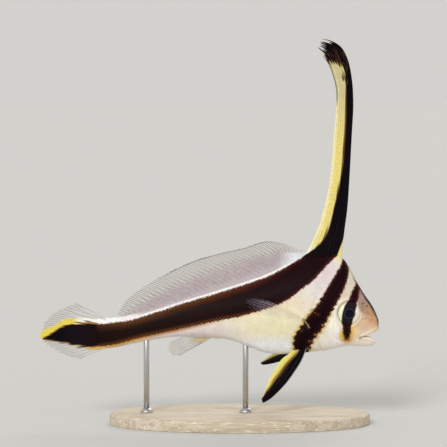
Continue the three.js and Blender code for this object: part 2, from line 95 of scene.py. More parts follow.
# %% Helpers for curves
def smooth(points, t):
    """Points on a curve through the given ones, t from 0 to 1, without overshoot at tight bends."""
    p = np.asarray(points, float)
    p = np.vstack([2 * p[0] - p[1], p, 2 * p[-1] - p[-2]])
    place = np.clip(np.asarray(t, float), 0, 1) * (len(p) - 3)
    i = np.minimum(place.astype(int), len(p) - 4)
    w = (place - i)[..., None]
    a, b, c, d = p[i], p[i + 1], p[i + 2], p[i + 3]
    ab = np.sqrt(np.linalg.norm(b - a, axis=-1, keepdims=True))
    bc = np.sqrt(np.linalg.norm(c - b, axis=-1, keepdims=True))
    cd = np.sqrt(np.linalg.norm(d - c, axis=-1, keepdims=True))
    leave = ((b - a) / ab - (c - a) / (ab + bc) + (c - b) / bc) * bc
    reach = ((c - b) / bc - (d - b) / (bc + cd) + (d - c) / cd) * bc
    w2, w3 = w * w, w * w * w
    return (2 * w3 - 3 * w2 + 1) * b + (w3 - 2 * w2 + w) * leave + (3 * w2 - 2 * w3) * c + (w3 - w2) * reach


def evenly(points, t):
    """The same curve, with t as the share of its length."""
    fine = smooth(points, np.linspace(0, 1, 400))
    steps = np.linalg.norm(np.diff(fine, axis=0), axis=1)
    length = np.concatenate([[0], np.cumsum(steps)])
    target = np.clip(t, 0, 1) * length[-1]
    return np.stack([np.interp(target, length, column) for column in fine.T], axis=-1)


def between(rows, x):
    """The values beside x in a table whose rows start with a rising x, along smooth curves."""
    r = np.asarray(rows, float)
    i = np.clip(np.searchsorted(r[:, 0], x, side="left") - 1, 0, len(r) - 2)
    r0, r1, r2, r3 = r[np.maximum(i - 1, 0)], r[i], r[i + 1], r[np.minimum(i + 2, len(r) - 1)]
    span = (r2[..., :1] - r1[..., :1])
    t = (np.asarray(x, float)[..., None] - r1[..., :1]) / span
    m1 = (r2 - r0) / (r2[..., :1] - r0[..., :1]) * span
    m2 = (r3 - r1) / (r3[..., :1] - r1[..., :1]) * span
    t2, t3 = t * t, t * t * t
    mixed = (2 * t3 - 3 * t2 + 1) * r1 + (t3 - 2 * t2 + t) * m1 + (3 * t2 - 2 * t3) * r2 + (t3 - t2) * m2
    return mixed[..., 1:]


def smoothstep(low, high, x):
    """From 0 at low to 1 at high, along a smooth step. It falls where low is the larger."""
    t = np.clip((x - low) / (high - low), 0, 1)
    return t * t * (3 - 2 * t)


def bump(x, width):
    """A round hill of height 1 at x = 0."""
    return np.exp(-((x / width) ** 2))


def distance(line, xz):
    """Distance in mm from each point of a side view to a line of points."""
    nearest = np.full(len(xz), np.inf)
    for a, b in zip(line[:-1], line[1:]):
        along = b - a
        t = np.clip((xz - a) @ along / (along @ along), 0, 1)
        nearest = np.minimum(nearest, np.linalg.norm(xz - a - t[:, None] * along, axis=1))
    return nearest


def depth_inside(outline, xz):
    """Distance in mm from each point to a closed outline: above 0 inside it, below 0 outside."""
    x, z = xz.T
    odd = np.zeros(len(xz), bool)
    for (x1, z1), (x2, z2) in zip(outline, np.roll(outline, -1, axis=0)):
        if z1 != z2:
            odd ^= ((z1 > z) != (z2 > z)) & (x < (x2 - x1) * (z - z1) / (z2 - z1) + x1)
    gap = distance(np.vstack([outline, outline[:1]]), xz)
    return np.where(odd, gap, -gap)


# %% Helpers for colours and meshes
def linear(hex_colour):
    """A '#rrggbb' colour as linear red, green and blue."""
    channels = [int(hex_colour[i:i + 2], 16) / 255 for i in (1, 3, 5)]
    return np.array([c / 12.92 if c <= 0.04045 else ((c + 0.055) / 1.055) ** 2.4 for c in channels])


def paint(colours, hex_colour, weight):
    """Lays a colour over an array of colours, by a weight from 0 to 1 for each."""
    return colours + (linear(hex_colour) - colours) * np.clip(weight, 0, 1)[:, None]


def make_mesh(name, points, faces, material, values=None, colour=None):
    """A smooth-shaded object from points in mm, with named values and a colour stored per point."""
    mesh = bpy.data.meshes.new(name)
    mesh.from_pydata((np.asarray(points) * MM).tolist(), [], np.asarray(faces).tolist())
    mesh.shade_smooth()
    for key, array in (values or {}).items():
        stored = mesh.attributes.new(key, "FLOAT", "POINT")
        stored.data.foreach_set("value", np.ravel(array).astype(np.float32))
    if colour is not None:
        rgba = np.column_stack([colour, np.ones(len(colour))]).astype(np.float32)
        mesh.attributes.new("tint", "FLOAT_COLOR", "POINT").data.foreach_set("color", rgba.ravel())
    mesh.materials.append(material)
    made = bpy.data.objects.new(name, mesh)
    bpy.context.collection.objects.link(made)
    print(f"{name}: {len(points)} points, {len(faces)} faces")
    return made


def add(tree, kind, sockets=None, **settings):
    """Adds a node: settings are its properties, and sockets maps an input to a value or an output."""
    made = tree.nodes.new(kind)
    for key, value in settings.items():
        setattr(made, key, value)
    for key, value in (sockets or {}).items():
        if isinstance(value, bpy.types.NodeSocket):
            tree.links.new(value, made.inputs[key])
        else:
            made.inputs[key].default_value = value
    return made


def new_material(name):
    """An empty material, with its node tree and the output that a shader plugs into."""
    material = bpy.data.materials.new(name)
    material.use_nodes = True
    tree = material.node_tree
    tree.nodes.clear()
    return material, tree, tree.nodes.new("ShaderNodeOutputMaterial")


def rgba(hex_colour):
    """A '#rrggbb' colour as the four numbers of a colour socket."""
    return (*linear(hex_colour), 1.0)


# %% [markdown]
# ## Skin finish
#
# Live drum skin is clear, moist cuticle over small scales backed with silvery guanine, and dark
# cells lie in the scales of the bands. That gives a satin sheen with a thin wet coat. The colour
# of the ground comes from the mesh, painted zone by zone. The dark bands come from their depth,
# stored per point in mm, so their edges can be ragged at the size of a scale. The scales are
# drawn by arithmetic: two sets of slanting lines cut the skin into lozenges, and in each one the
# surface rises towards its free rear edge. Finer ones are lost in a picture of this size, so they
# are drawn 1.4 mm long and 1.5 mm high in the middle of the side.

# %% Sizes and dark colours of the skin
SCALE_LENGTH = 1.4
SCALE_HEIGHT = 1.5
GRAIN_SIZE = 0.7
MOTTLE_SIZE = 2.6
RAGGEDNESS = 0.22
INK = "#09040a"
RUST_FRONT = "#64241a"
RUST_REAR = "#70421e"
print("scales in mm:", SCALE_LENGTH, "by", SCALE_HEIGHT)

# %% What the skin reads from its mesh
skin_material, tree, output = new_material("moist_scaled_skin")
tint = add(tree, "ShaderNodeAttribute", attribute_name="tint")
band = add(tree, "ShaderNodeAttribute", attribute_name="band")
rust = add(tree, "ShaderNodeAttribute", attribute_name="rust")
scaled = add(tree, "ShaderNodeAttribute", attribute_name="scaled")
along = add(tree, "ShaderNodeAttribute", attribute_name="scale_along")
across = add(tree, "ShaderNodeAttribute", attribute_name="scale_across")
place = add(tree, "ShaderNodeTexCoord")
print("values read:", len(tree.nodes) - 2)

# %% Height across each scale
# Each scale is a disc about the front corner of its lozenge, and lies over the discs behind it.
# A point's height is its distance from that corner, so it rises to the scale's round free edge.
rising = add(tree, "ShaderNodeMath", {0: along.outputs["Fac"], 1: across.outputs["Fac"]}, operation="ADD")
falling = add(
    tree, "ShaderNodeMath", {0: along.outputs["Fac"], 1: across.outputs["Fac"]}, operation="SUBTRACT"
)
slant_a = add(tree, "ShaderNodeMath", {0: rising.outputs[0]}, operation="FRACT")
slant_b = add(tree, "ShaderNodeMath", {0: falling.outputs[0]}, operation="FRACT")
from_a = add(tree, "ShaderNodeMath", {0: 1.0, 1: slant_a.outputs[0]}, operation="SUBTRACT")
from_b = add(tree, "ShaderNodeMath", {0: 1.0, 1: slant_b.outputs[0]}, operation="SUBTRACT")
squared = add(tree, "ShaderNodeMath", {0: from_a.outputs[0], 1: from_a.outputs[0]}, operation="MULTIPLY")
squared = add(
    tree, "ShaderNodeMath", {0: from_b.outputs[0], 1: from_b.outputs[0], 2: squared.outputs[0]},
    operation="MULTIPLY_ADD",
)
own = add(tree, "ShaderNodeMath", {0: squared.outputs[0]}, operation="SQRT")
far = add(tree, "ShaderNodeMath", {0: from_a.outputs[0], 1: from_b.outputs[0]}, operation="MAXIMUM")
near = add(tree, "ShaderNodeMath", {0: from_a.outputs[0], 1: from_b.outputs[0]}, operation="MINIMUM")
left = add(tree, "ShaderNodeMath", {0: 1.0, 1: far.outputs[0]}, operation="SUBTRACT")
squared = add(tree, "ShaderNodeMath", {0: left.outputs[0], 1: left.outputs[0]}, operation="MULTIPLY")
squared = add(
    tree, "ShaderNodeMath", {0: near.outputs[0], 1: near.outputs[0], 2: squared.outputs[0]},
    operation="MULTIPLY_ADD",
)
under = add(tree, "ShaderNodeMath", {0: squared.outputs[0]}, operation="SQRT")
past = add(tree, "ShaderNodeMath", {0: own.outputs[0], 1: 1.0}, operation="GREATER_THAN")
change = add(tree, "ShaderNodeMath", {0: under.outputs[0], 1: own.outputs[0]}, operation="SUBTRACT")
height = add(
    tree, "ShaderNodeMath", {0: change.outputs[0], 1: past.outputs[0], 2: own.outputs[0]},
    operation="MULTIPLY_ADD",
)
height = add(tree, "ShaderNodeMath", {0: height.outputs[0], 1: height.outputs[0]}, operation="MULTIPLY")
scale_rise = add(
    tree, "ShaderNodeMath", {0: height.outputs[0], 1: scaled.outputs["Fac"]}, operation="MULTIPLY"
)
print("nodes with the scales:", len(tree.nodes))

# %% Ragged edges of the bands
# The ragged edge of a band, in mm: grainy noise and the free edges of the scales
grain = add(
    tree, "ShaderNodeTexNoise",
    {"Vector": place.outputs["Object"], "Scale": 1 / (GRAIN_SIZE * MM), "Detail": 3.0},
)
ragged = add(
    tree, "ShaderNodeMapRange", {0: grain.outputs["Fac"], 1: 0.3, 2: 0.7, 3: -RAGGEDNESS, 4: RAGGEDNESS}
)
toothed = add(
    tree, "ShaderNodeMath", {0: scaled.outputs["Fac"], 1: -0.45, 2: scale_rise.outputs[0]},
    operation="MULTIPLY_ADD",
)
toothed = add(tree, "ShaderNodeMath", {0: toothed.outputs[0], 1: 0.28}, operation="MULTIPLY")
edge = add(tree, "ShaderNodeMath", {0: band.outputs["Fac"], 1: ragged.outputs[0]}, operation="ADD")
edge = add(tree, "ShaderNodeMath", {0: edge.outputs[0], 1: toothed.outputs[0]}, operation="ADD")
dark = add(
    tree, "ShaderNodeMapRange", {0: edge.outputs[0], 1: -0.3, 2: 0.28, 3: 0.0, 4: 1.0},
    interpolation_type="SMOOTHSTEP",
)
print("nodes with the edges:", len(tree.nodes))

# %% Ink and rust
# Rust shows in the middle of each dark scale and towards the band's edges, browner at the rear
place_x = add(tree, "ShaderNodeSeparateXYZ", {0: place.outputs["Object"]})
forward = add(tree, "ShaderNodeMapRange", {0: place_x.outputs["X"], 1: -0.005, 2: 0.022, 3: 0.0, 4: 1.0})
rust_colour = add(
    tree, "ShaderNodeMix", {0: forward.outputs[0], 6: rgba(RUST_REAR), 7: rgba(RUST_FRONT)},
    data_type="RGBA",
)
speck = add(tree, "ShaderNodeMapRange", {0: scale_rise.outputs[0], 1: 0.1, 2: 0.9, 3: 1.9, 4: 0.1})
rusty = add(tree, "ShaderNodeMath", {0: rust.outputs["Fac"], 1: speck.outputs[0]}, operation="MULTIPLY")
dark_colour = add(
    tree, "ShaderNodeMix", {0: rusty.outputs[0], 6: rgba(INK), 7: rust_colour.outputs[2]},
    data_type="RGBA", clamp_factor=True,
)
print("nodes with the dark colours:", len(tree.nodes))

# %% Pale ground and the finished skin
# The pale ground is mottled, flecked with silver, and shaded along each scale's free edge
mottle = add(
    tree, "ShaderNodeTexNoise",
    {"Vector": place.outputs["Object"], "Scale": 1 / (MOTTLE_SIZE * MM), "Detail": 4.0},
)
shade = add(tree, "ShaderNodeMapRange", {0: mottle.outputs["Fac"], 1: 0.3, 2: 0.7, 3: 0.93, 4: 1.04})
silvery = add(tree, "ShaderNodeMapRange", {0: grain.outputs["Fac"], 1: 0.5, 2: 0.75, 3: 0.0, 4: 0.35})
flecked = add(
    tree, "ShaderNodeMix", {0: silvery.outputs[0], 6: tint.outputs["Color"], 7: rgba("#b9c1c6")},
    data_type="RGBA",
)
line = add(tree, "ShaderNodeMapRange", {0: scale_rise.outputs[0], 1: 0.7, 2: 1.0, 3: 1.0, 4: 0.92})
shade = add(tree, "ShaderNodeMath", {0: shade.outputs[0], 1: line.outputs[0]}, operation="MULTIPLY")
ground = add(
    tree, "ShaderNodeVectorMath", {0: flecked.outputs[2], "Scale": shade.outputs[0]}, operation="SCALE"
)
coloured = add(
    tree, "ShaderNodeMix", {0: dark.outputs[0], 6: ground.outputs[0], 7: dark_colour.outputs[2]},
    data_type="RGBA",
)
relief = add(
    tree, "ShaderNodeBump", {"Height": scale_rise.outputs[0], "Strength": 0.5, "Distance": 0.06 * MM}
)
pores = add(
    tree, "ShaderNodeBump",
    {"Height": grain.outputs["Fac"], "Strength": 0.25, "Distance": 0.05 * MM, "Normal": relief.outputs[0]},
)
surface = add(
    tree, "ShaderNodeBsdfPrincipled",
    {
        "Base Color": coloured.outputs[2],
        "Roughness": 0.55,
        "IOR": 1.40,
        "Specular IOR Level": 0.05,
        "Subsurface Weight": 0.25,
        "Subsurface Radius": (1.0, 0.6, 0.4),
        "Subsurface Scale": 0.8 * MM,
        "Coat Weight": 0.02,
        "Coat Roughness": 0.3,
        "Coat IOR": 1.34,
        "Normal": pores.outputs[0],
    },
)
tree.links.new(surface.outputs[0], output.inputs[0])
print("skin finish:", len(tree.nodes), "nodes")

# %% [markdown]
# ## Shape of the body
#
# A drum's body is deep at the nape and thins evenly to a long stalk. A loft suits it: eighteen
# cross-sections, each set by a point of the back, a point of the belly, a half width and how
# sharply its back is ridged, with smooth curves from one to the next. The same numbers made the
# solids, so the skin lies where they are. The mouth is cut out as a wedge, and the result is
# remeshed, which rounds the cut and spreads the points evenly for the fine forms that follow.

# %% Sections of the body
BODY_SECTIONS = [
    # back x, z; belly x, z; half width; ridge of the back
    (59.8, 37.0, 59.8, 34.6, 1.1, 1.0),
    (59.1, 38.9, 59.3, 31.4, 2.3, 1.0),
    (57.7, 41.8, 58.0, 28.0, 3.1, 1.05),
    (54.7, 46.2, 54.0, 27.6, 4.2, 1.1),
    (51.7, 51.1, 49.0, 27.7, 5.3, 1.15),
    (49.3, 56.0, 43.5, 26.7, 6.4, 1.2),
    (46.6, 58.8, 38.0, 25.8, 7.1, 1.25),
    (40.0, 58.7, 32.0, 25.1, 7.4, 1.3),
    (33.0, 57.9, 26.0, 24.8, 7.2, 1.3),
    (25.0, 55.2, 20.0, 25.2, 6.7, 1.3),
    (16.5, 51.7, 14.0, 27.4, 6.0, 1.3),
    (8.0, 48.9, 7.0, 29.9, 5.3, 1.3),
    (-3.0, 45.5, -3.0, 31.1, 4.4, 1.25),
    (-14.0, 42.1, -14.0, 30.7, 3.4, 1.2),
    (-25.0, 38.8, -25.0, 28.8, 2.5, 1.1),
    (-33.0, 37.7, -33.0, 27.1, 1.9, 1.05),
    (-37.5, 37.4, -37.5, 26.8, 1.3, 1.0),
    (-40.0, 36.2, -40.0, 27.8, 0.6, 1.0),
]
BACK = [s[0:2] for s in BODY_SECTIONS]
BELLY = [s[2:4] for s in BODY_SECTIONS]
WIDTHS = [(i / (len(BODY_SECTIONS) - 1), s[4], s[5]) for i, s in enumerate(BODY_SECTIONS)]
WIDEST_AT = 0.44
BELLY_ROUNDNESS = 0.9
MOUTH = [
    (62.0, 34.7), (59.2, 33.4), (57.3, 32.5), (56.1, 31.9), (55.0, 31.4), (53.0, 30.9),
    (53.3, 30.6), (55.0, 31.0), (56.1, 30.9), (57.2, 30.4), (58.3, 29.7), (59.0, 28.9), (60.0, 28.0),
    (62.0, 28.0),
]
print("sections:", len(BODY_SECTIONS))


# %% Loft through the sections
def body_ring(t, angles):
    """Points round the body at share t of its length; angle 0 is the left side, a quarter turn the back."""
    back, belly = smooth(BACK, t), smooth(BELLY, t)
    half_width, ridge = between(WIDTHS, np.array(t))
    up = back - belly
    height = np.linalg.norm(up)
    centre = belly + up * WIDEST_AT
    c, s = np.cos(angles), np.sin(angles)
    rise = s * height * np.where(s > 0, 1 - WIDEST_AT, WIDEST_AT)
    y = np.sign(c) * np.abs(c) ** np.where(s > 0, ridge, BELLY_ROUNDNESS) * half_width
    return np.column_stack([centre[0] + rise * up[0] / height, y, centre[1] + rise * up[1] / height])


RINGS = 240
SIDES = 96
angles = np.arange(SIDES) / SIDES * 2 * math.pi
rings = [body_ring(t, angles) for t in np.linspace(0, 1, RINGS)]
snout = rings[0].mean(axis=0) + (0.2, 0, 0)
stub = rings[-1].mean(axis=0) - (0.2, 0, 0)
loft_points = np.vstack([*rings, snout, stub])
loft_faces = []
for k in range(RINGS - 1):
    for j in range(SIDES):
        here, beside = k * SIDES + j, k * SIDES + (j + 1) % SIDES
        loft_faces.append((here, beside, beside + SIDES, here + SIDES))
last = (RINGS - 1) * SIDES
for j in range(SIDES):
    loft_faces.append((RINGS * SIDES, (j + 1) % SIDES, j))
    loft_faces.append((RINGS * SIDES + 1, last + j, last + (j + 1) % SIDES))
loft_faces = [face[::-1] for face in loft_faces]
print("loft:", len(loft_points), "points")

# %% Skin cut at the mouth, with evenly spread points
SKIN_SPACING = 0.24


def bare_object(name, points, faces):
    """An object made of points and faces, with no finish yet."""
    mesh = bpy.data.meshes.new(name)
    mesh.from_pydata(np.asarray(points, float).tolist(), [], [list(face) for face in faces])
    made = bpy.data.objects.new(name, mesh)
    bpy.context.collection.objects.link(made)
    return made


corners = len(MOUTH)
wedge_points = [(x, y, z) for y in (-9, 9) for x, z in MOUTH]
wedge_faces = [tuple(range(corners)), tuple(range(2 * corners - 1, corners - 1, -1))]
for j in range(corners):
    beside = (j + 1) % corners
    wedge_faces.append((beside, j, j + corners, beside + corners))

# These forms are in mm, and are removed once the result of their modifiers is read
trunk = bare_object("trunk_form", loft_points, loft_faces)
wedge = bare_object("mouth_form", wedge_points, wedge_faces)
cut = trunk.modifiers.new("mouth", "BOOLEAN")
cut.object = wedge
cut.operation = "DIFFERENCE"
cut.solver = "EXACT"
even = trunk.modifiers.new("even", "REMESH")
even.mode = "VOXEL"
even.voxel_size = SKIN_SPACING
soften = trunk.modifiers.new("soften", "SMOOTH")
soften.factor = 0.5
soften.iterations = 6
formed = trunk.evaluated_get(bpy.context.evaluated_depsgraph_get()).to_mesh()
skin = np.empty(3 * len(formed.vertices))
formed.vertices.foreach_get("co", skin)
skin = skin.reshape(-1, 3)
outward = np.empty(3 * len(formed.vertices))
formed.vertices.foreach_get("normal", outward)
outward = outward.reshape(-1, 3)
skin_faces = np.empty(len(formed.loops), int)
formed.loops.foreach_get("vertex_index", skin_faces)
skin_faces = skin_faces.reshape(-1, 4)
bpy.data.objects.remove(trunk)
bpy.data.objects.remove(wedge)
print("skin points:", len(skin))

# %% [markdown]
# ## Forms of the head and the scales
#
# The fine forms are moves of the skin along its own normals, because they are shallow: the gill
# cover's edge that stands 0.45 mm proud of the trunk, the bone edge on the cheek, the eye's socket
# with its raised rim, two nostrils, the lips, and the pored line along the side. Each is a function
# of the distance to a line or a point of the side view. Scales get a true relief of 0.04 mm from
# the same lozenges that colour them.

# %% Lines and points of the head
GILL_EDGE = smooth(
    [(49.4, 61.0), (48.2, 58.2), (44.8, 54.2), (40.8, 49.2), (37.2, 43.6), (35.7, 38.4), (36.4, 33.4),
     (39.0, 28.6), (41.5, 22.0)],
    np.linspace(0, 1, 60),
)
CHEEK_EDGE = smooth([(43.5, 44.0), (42.2, 40.0), (41.9, 37.3), (42.6, 33.5), (44.4, 31.0), (46.8, 29.6)],
                    np.linspace(0, 1, 30))
UPPER_LIP = smooth([(54.6, 31.8), (55.8, 32.3), (57.4, 33.1), (58.8, 33.8), (60.0, 34.3)],
                   np.linspace(0, 1, 20))
LOWER_LIP = smooth([(54.4, 30.5), (55.6, 30.5), (56.8, 30.1), (57.7, 29.5), (58.8, 28.4)],
                   np.linspace(0, 1, 20))
JAW_BONE = smooth([(54.6, 32.6), (53.0, 31.6), (51.9, 30.4), (51.6, 29.0)], np.linspace(0, 1, 20))
NOSTRILS = [(54.2, 42.9), (55.7, 41.9)]
GILL_COVER_RISE = 0.45
EYE_CENTRE = (48.9, 39.7)
EYE_RADIUS = 4.3
EYE_OUT = 5.0
EYE_TURN = math.radians(12)
FIN_FEET = [
    # rise; half width; where it starts and where it ends along X; 1 on the back, -1 on the belly
    (0.9, 1.3, (29, 33), (47.5, 45), 1),
    (0.45, 0.9, (-31, -26), (34, 30), 1),
    (0.4, 0.8, (-9, -6), (5.5, 3), -1),
]
print("eye radius in mm:", EYE_RADIUS)

# %% Fine forms as a rise of the skin
side_view = skin[:, [0, 2]]
side = np.sign(skin[:, 1])
eye_axis = np.column_stack([np.full(len(skin), math.sin(EYE_TURN)), side * math.cos(EYE_TURN), 0 * side])
eye_middle = np.column_stack([
    np.full(len(skin), EYE_CENTRE[0]), side * EYE_OUT, np.full(len(skin), EYE_CENTRE[1]),
])
from_eye = skin - eye_middle
eye_depth = np.sum(from_eye * eye_axis, axis=1)
eye_distance = np.linalg.norm(from_eye - eye_depth[:, None] * eye_axis, axis=1)
flank = smoothstep(0.15, 0.5, np.abs(outward[:, 1]))

cover_depth = depth_inside(np.vstack([GILL_EDGE, [(75, 20), (75, 64)]]), side_view)
edge_height = 1 - smoothstep(43, 50, skin[:, 2])
cheek = distance(CHEEK_EDGE, side_view)
rise = GILL_COVER_RISE * (1 - smoothstep(36, 47, skin[:, 0])) * smoothstep(-0.1, 0.35, cover_depth)
rise -= 0.28 * edge_height * bump(cover_depth + 0.25, 0.35) * flank
rise -= 0.16 * bump(cheek, 0.5) * flank
rise += 0.07 * bump(cheek - 0.9, 0.5) * flank
rise -= 0.9 * (1 - smoothstep(4.0, 4.5, eye_distance))
rise += 0.36 * bump(eye_distance - 4.85, 0.55)
rise += 0.30 * bump(distance(UPPER_LIP, side_view), 0.5)
rise += 0.30 * bump(distance(LOWER_LIP, side_view), 0.45)
rise -= 0.14 * bump(distance(JAW_BONE, side_view), 0.35) * flank
for nostril in NOSTRILS:
    gap = np.hypot(*(side_view - nostril).T)
    rise += 0.14 * bump(gap - 0.62, 0.22) - 0.55 * bump(gap, 0.36)
for swell, wide, start, end, way in FIN_FEET:
    foot = swell * bump(skin[:, 1], wide) * smoothstep(*start, skin[:, 0]) * smoothstep(*end, skin[:, 0])
    rise += foot * (way * outward[:, 2] > 0)
print("fine forms from", round(float(rise.min()), 2), "to", round(float(rise.max()), 2), "mm")

# %% Scale rows, their relief and the pored line
SCALE_RELIEF = 0.04
spine_t = np.linspace(0, 1, 200)
middle = smooth(BELLY, spine_t) * (1 - WIDEST_AT) + smooth(BACK, spine_t) * WIDEST_AT
half_widths = between(WIDTHS, spine_t)[:, 0]
order = np.argsort(middle[:, 0])
middle_x, middle_z, middle_width = middle[order, 0], middle[order, 1], half_widths[order]
x = skin[:, 0]
above_middle = skin[:, 2] - np.interp(x, middle_x, middle_z)
turned_in = np.maximum(np.interp(x, middle_x, middle_width) - np.abs(skin[:, 1]), 0)
pitch_x = np.linspace(-41, 61, 300)
growth = np.interp(pitch_x, [-40, 0, 40, 60], [0.75, 0.95, 1.1, 0.8])
rows_along = np.concatenate([[0], np.cumsum(np.diff(pitch_x) / (SCALE_LENGTH * growth[:-1]))])
scale_along = np.interp(x, pitch_x, rows_along)
up_the_side = above_middle + np.sign(above_middle) * turned_in * 0.9
scale_across = up_the_side / (SCALE_HEIGHT * np.interp(x, pitch_x, growth))

scaled = (1 - smoothstep(51, 56, x)) * smoothstep(4.9, 5.8, eye_distance)
scaled *= 0.35 + 0.65 * smoothstep(-40, -34, x)
slant_1 = 1 - (scale_along + scale_across) % 1
slant_2 = 1 - (scale_along - scale_across) % 1
own = np.hypot(slant_1, slant_2)
under = np.hypot(1 - np.maximum(slant_1, slant_2), np.minimum(slant_1, slant_2))
relief_mm = SCALE_RELIEF * np.where(own < 1, own, under) ** 2 * scaled
pored_height = np.interp(x, [-38, -20, 0, 20, 30, 38, 43], [32.4, 34.6, 39.4, 45.0, 48.6, 51.6, 52.4])
pored = 0.04 * bump(skin[:, 2] - pored_height, 0.3) * (x < 41) * flank
skin = skin + outward * (rise + relief_mm + pored)[:, None]
print("scale rows along the fish:", round(float(rows_along[-1])))

# %% [markdown]
# ## Bands and ground colours
#
# Three dark bands mark the species: one through the eye, one from the nape to the belly fins, and
# the long one from the tall fin to the tip of the tail. Each is an outline in side view, and a
# point's depth inside it, in mm, is kept on the mesh. The ground between them is painted in soft
# patches: tan snout, mauve forehead, lilac nape, yellow-green flank, grey belly, and the white and
# golden lines that run along the bands.

# %% Outlines of the bands
BAND_TOP = smooth(
    [(34.9, 60.4), (31.4, 58.1), (26.5, 55.3), (21.5, 52.7), (14.5, 50.1), (0.7, 45.7), (-9.7, 42.6),
     (-20.0, 39.2), (-28.2, 36.8), (-33.0, 36.1), (-38.3, 35.5), (-44.0, 35.9), (-48.9, 35.3), (-52.0, 34.2),
     (-55.9, 31.8), (-58.7, 30.3), (-60.5, 29.9)],
    np.linspace(0, 1, 100),
)
BAND_BOTTOM = smooth(
    [(45.5, 59.9), (42.8, 57.5), (39.8, 54.5), (36.4, 51.0), (32.4, 48.1), (28.5, 45.1), (24.1, 42.7),
     (18.1, 40.7), (11.7, 38.7), (4.3, 37.2), (-4.5, 35.2), (-14.8, 32.8), (-25.2, 30.4), (-32.9, 28.2),
     (-40.7, 27.3), (-45.8, 27.5), (-53.6, 29.1), (-58.7, 29.9), (-60.5, 29.7)],
    np.linspace(0, 1, 120),
)
LONG_BAND = np.vstack([BAND_TOP, BAND_BOTTOM[::-1], [(45.5, 64)], [(34.9, 64)]])
NAPE_BAND = np.vstack([
    smooth([(47.4, 59.2), (49.3, 54.8), (48.1, 49.8), (44.9, 43.5), (42.1, 38.8), (39.6, 34.1), (36.7, 30.3),
            (34.9, 24.5)], np.linspace(0, 1, 50)),
    smooth([(30.6, 24.5), (29.8, 28.4), (30.1, 31.5), (32.6, 35.6), (34.9, 39.1), (38.0, 42.9), (41.1, 48.2),
            (43.7, 52.3), (46.2, 56.1)], np.linspace(0, 1, 50)),
])
EYE_BAND = np.vstack([
    smooth([(53.2, 49.2), (52.7, 45.1), (51.8, 42.6), (50.2, 37.2), (49.9, 32.5), (49.6, 29.7)],
           np.linspace(0, 1, 40)),
    smooth([(47.4, 29.7), (47.1, 32.5), (46.8, 37.2), (47.0, 39.6), (47.7, 42.0), (48.8, 43.8), (50.2, 47.2),
            (51.9, 49.8)],
           np.linspace(0, 1, 40)),
])
PALE_STROKE = np.array([(33.3, 37.5), (34.5, 36.1), (35.3, 34.7)])
BROWN_STROKE = np.array([(35.4, 41.0), (37.0, 40.2), (38.4, 39.4)])
BLOTCHES = [(35.7, 40.4, 0.45), (36.5, 41.2, 0.3), (35.0, 39.3, 0.4), (39.8, 35.6, 0.4), (38.6, 33.0, 0.35)]
FLECKS = 60
FRECKLES = 170
print("length of the long band in mm:", round(float(BAND_TOP[0, 0] - BAND_TOP[-1, 0])))

# %% Depth inside the bands
side_view = skin[:, [0, 2]]
x, z = side_view.T
long_band = depth_inside(LONG_BAND, side_view)
uneven = 0.25 * np.sin(2.7 * z + 0.8 * x) + 0.15 * np.sin(6.1 * z - 3.3 * x + 1.0)
nape_band = depth_inside(NAPE_BAND, side_view) + uneven * smoothstep(50, 44, z)
low_eye = depth_inside(EYE_BAND, side_view)
eye_band = low_eye - smoothstep(33.0, 30.0, z) * (0.7 + 0.5 * np.sin(9 * x))
stroke = distance(PALE_STROKE, side_view)
nape_dark = nape_band * (1 - 0.15 * smoothstep(48, 42, z))
band_depth = np.maximum(np.maximum(long_band, nape_dark), eye_band)
band_depth = np.minimum(band_depth, (stroke - 0.2) * 1.5)
band_depth = np.minimum(band_depth, distance(BROWN_STROKE, side_view) * 1.2 + 0.02)
flecks = np.random.default_rng(7).uniform((28.5, 25.5), (44.0, 43.5), (FLECKS, 2))
fleck_depth = depth_inside(NAPE_BAND, flecks)
near_edge = (fleck_depth > -0.1) & (fleck_depth < 1.1 - 0.5 * (flecks[:, 1] > 39))
for fleck, size in zip(flecks[near_edge], np.linspace(0.0, 0.35, near_edge.sum())):
    band_depth = np.minimum(band_depth, 1.1 * (np.hypot(*(side_view - fleck).T) - size))
for blotch_x, blotch_z, size in BLOTCHES:
    band_depth = np.minimum(band_depth, np.hypot(x - blotch_x, z - blotch_z) - size)
print("dark share of the skin:", round(float((band_depth > 0).mean()), 2))

# %% Rust in the bands
above_long = z - np.interp(x, BAND_TOP[::-1, 0], BAND_TOP[::-1, 1])
below_long = np.interp(x, BAND_BOTTOM[::-1, 0], BAND_BOTTOM[::-1, 1]) - z
rust_weight = 0.07 + 0.34 * smoothstep(1.5, 0.1, band_depth)
rust_weight += 0.32 * smoothstep(32, 12, x) * smoothstep(-3.2, -0.8, above_long)
rust_weight += 0.38 * smoothstep(28, 5, x) * smoothstep(-1.9, -0.3, below_long)
rust_weight *= smoothstep(-44, -30, x) * (1 - 0.2 * (x > 46.5))
rust_weight *= 1 - 0.5 * (nape_band > -1) * smoothstep(46, 38, z)
print("most rust:", round(float(rust_weight.max()), 2))


# %% Ground colours
def patch(x0, z0, wide, high):
    """A soft round patch of side view, 1 at its middle."""
    return np.exp(-((x - x0) / wide) ** 2 - ((z - z0) / high) ** 2)


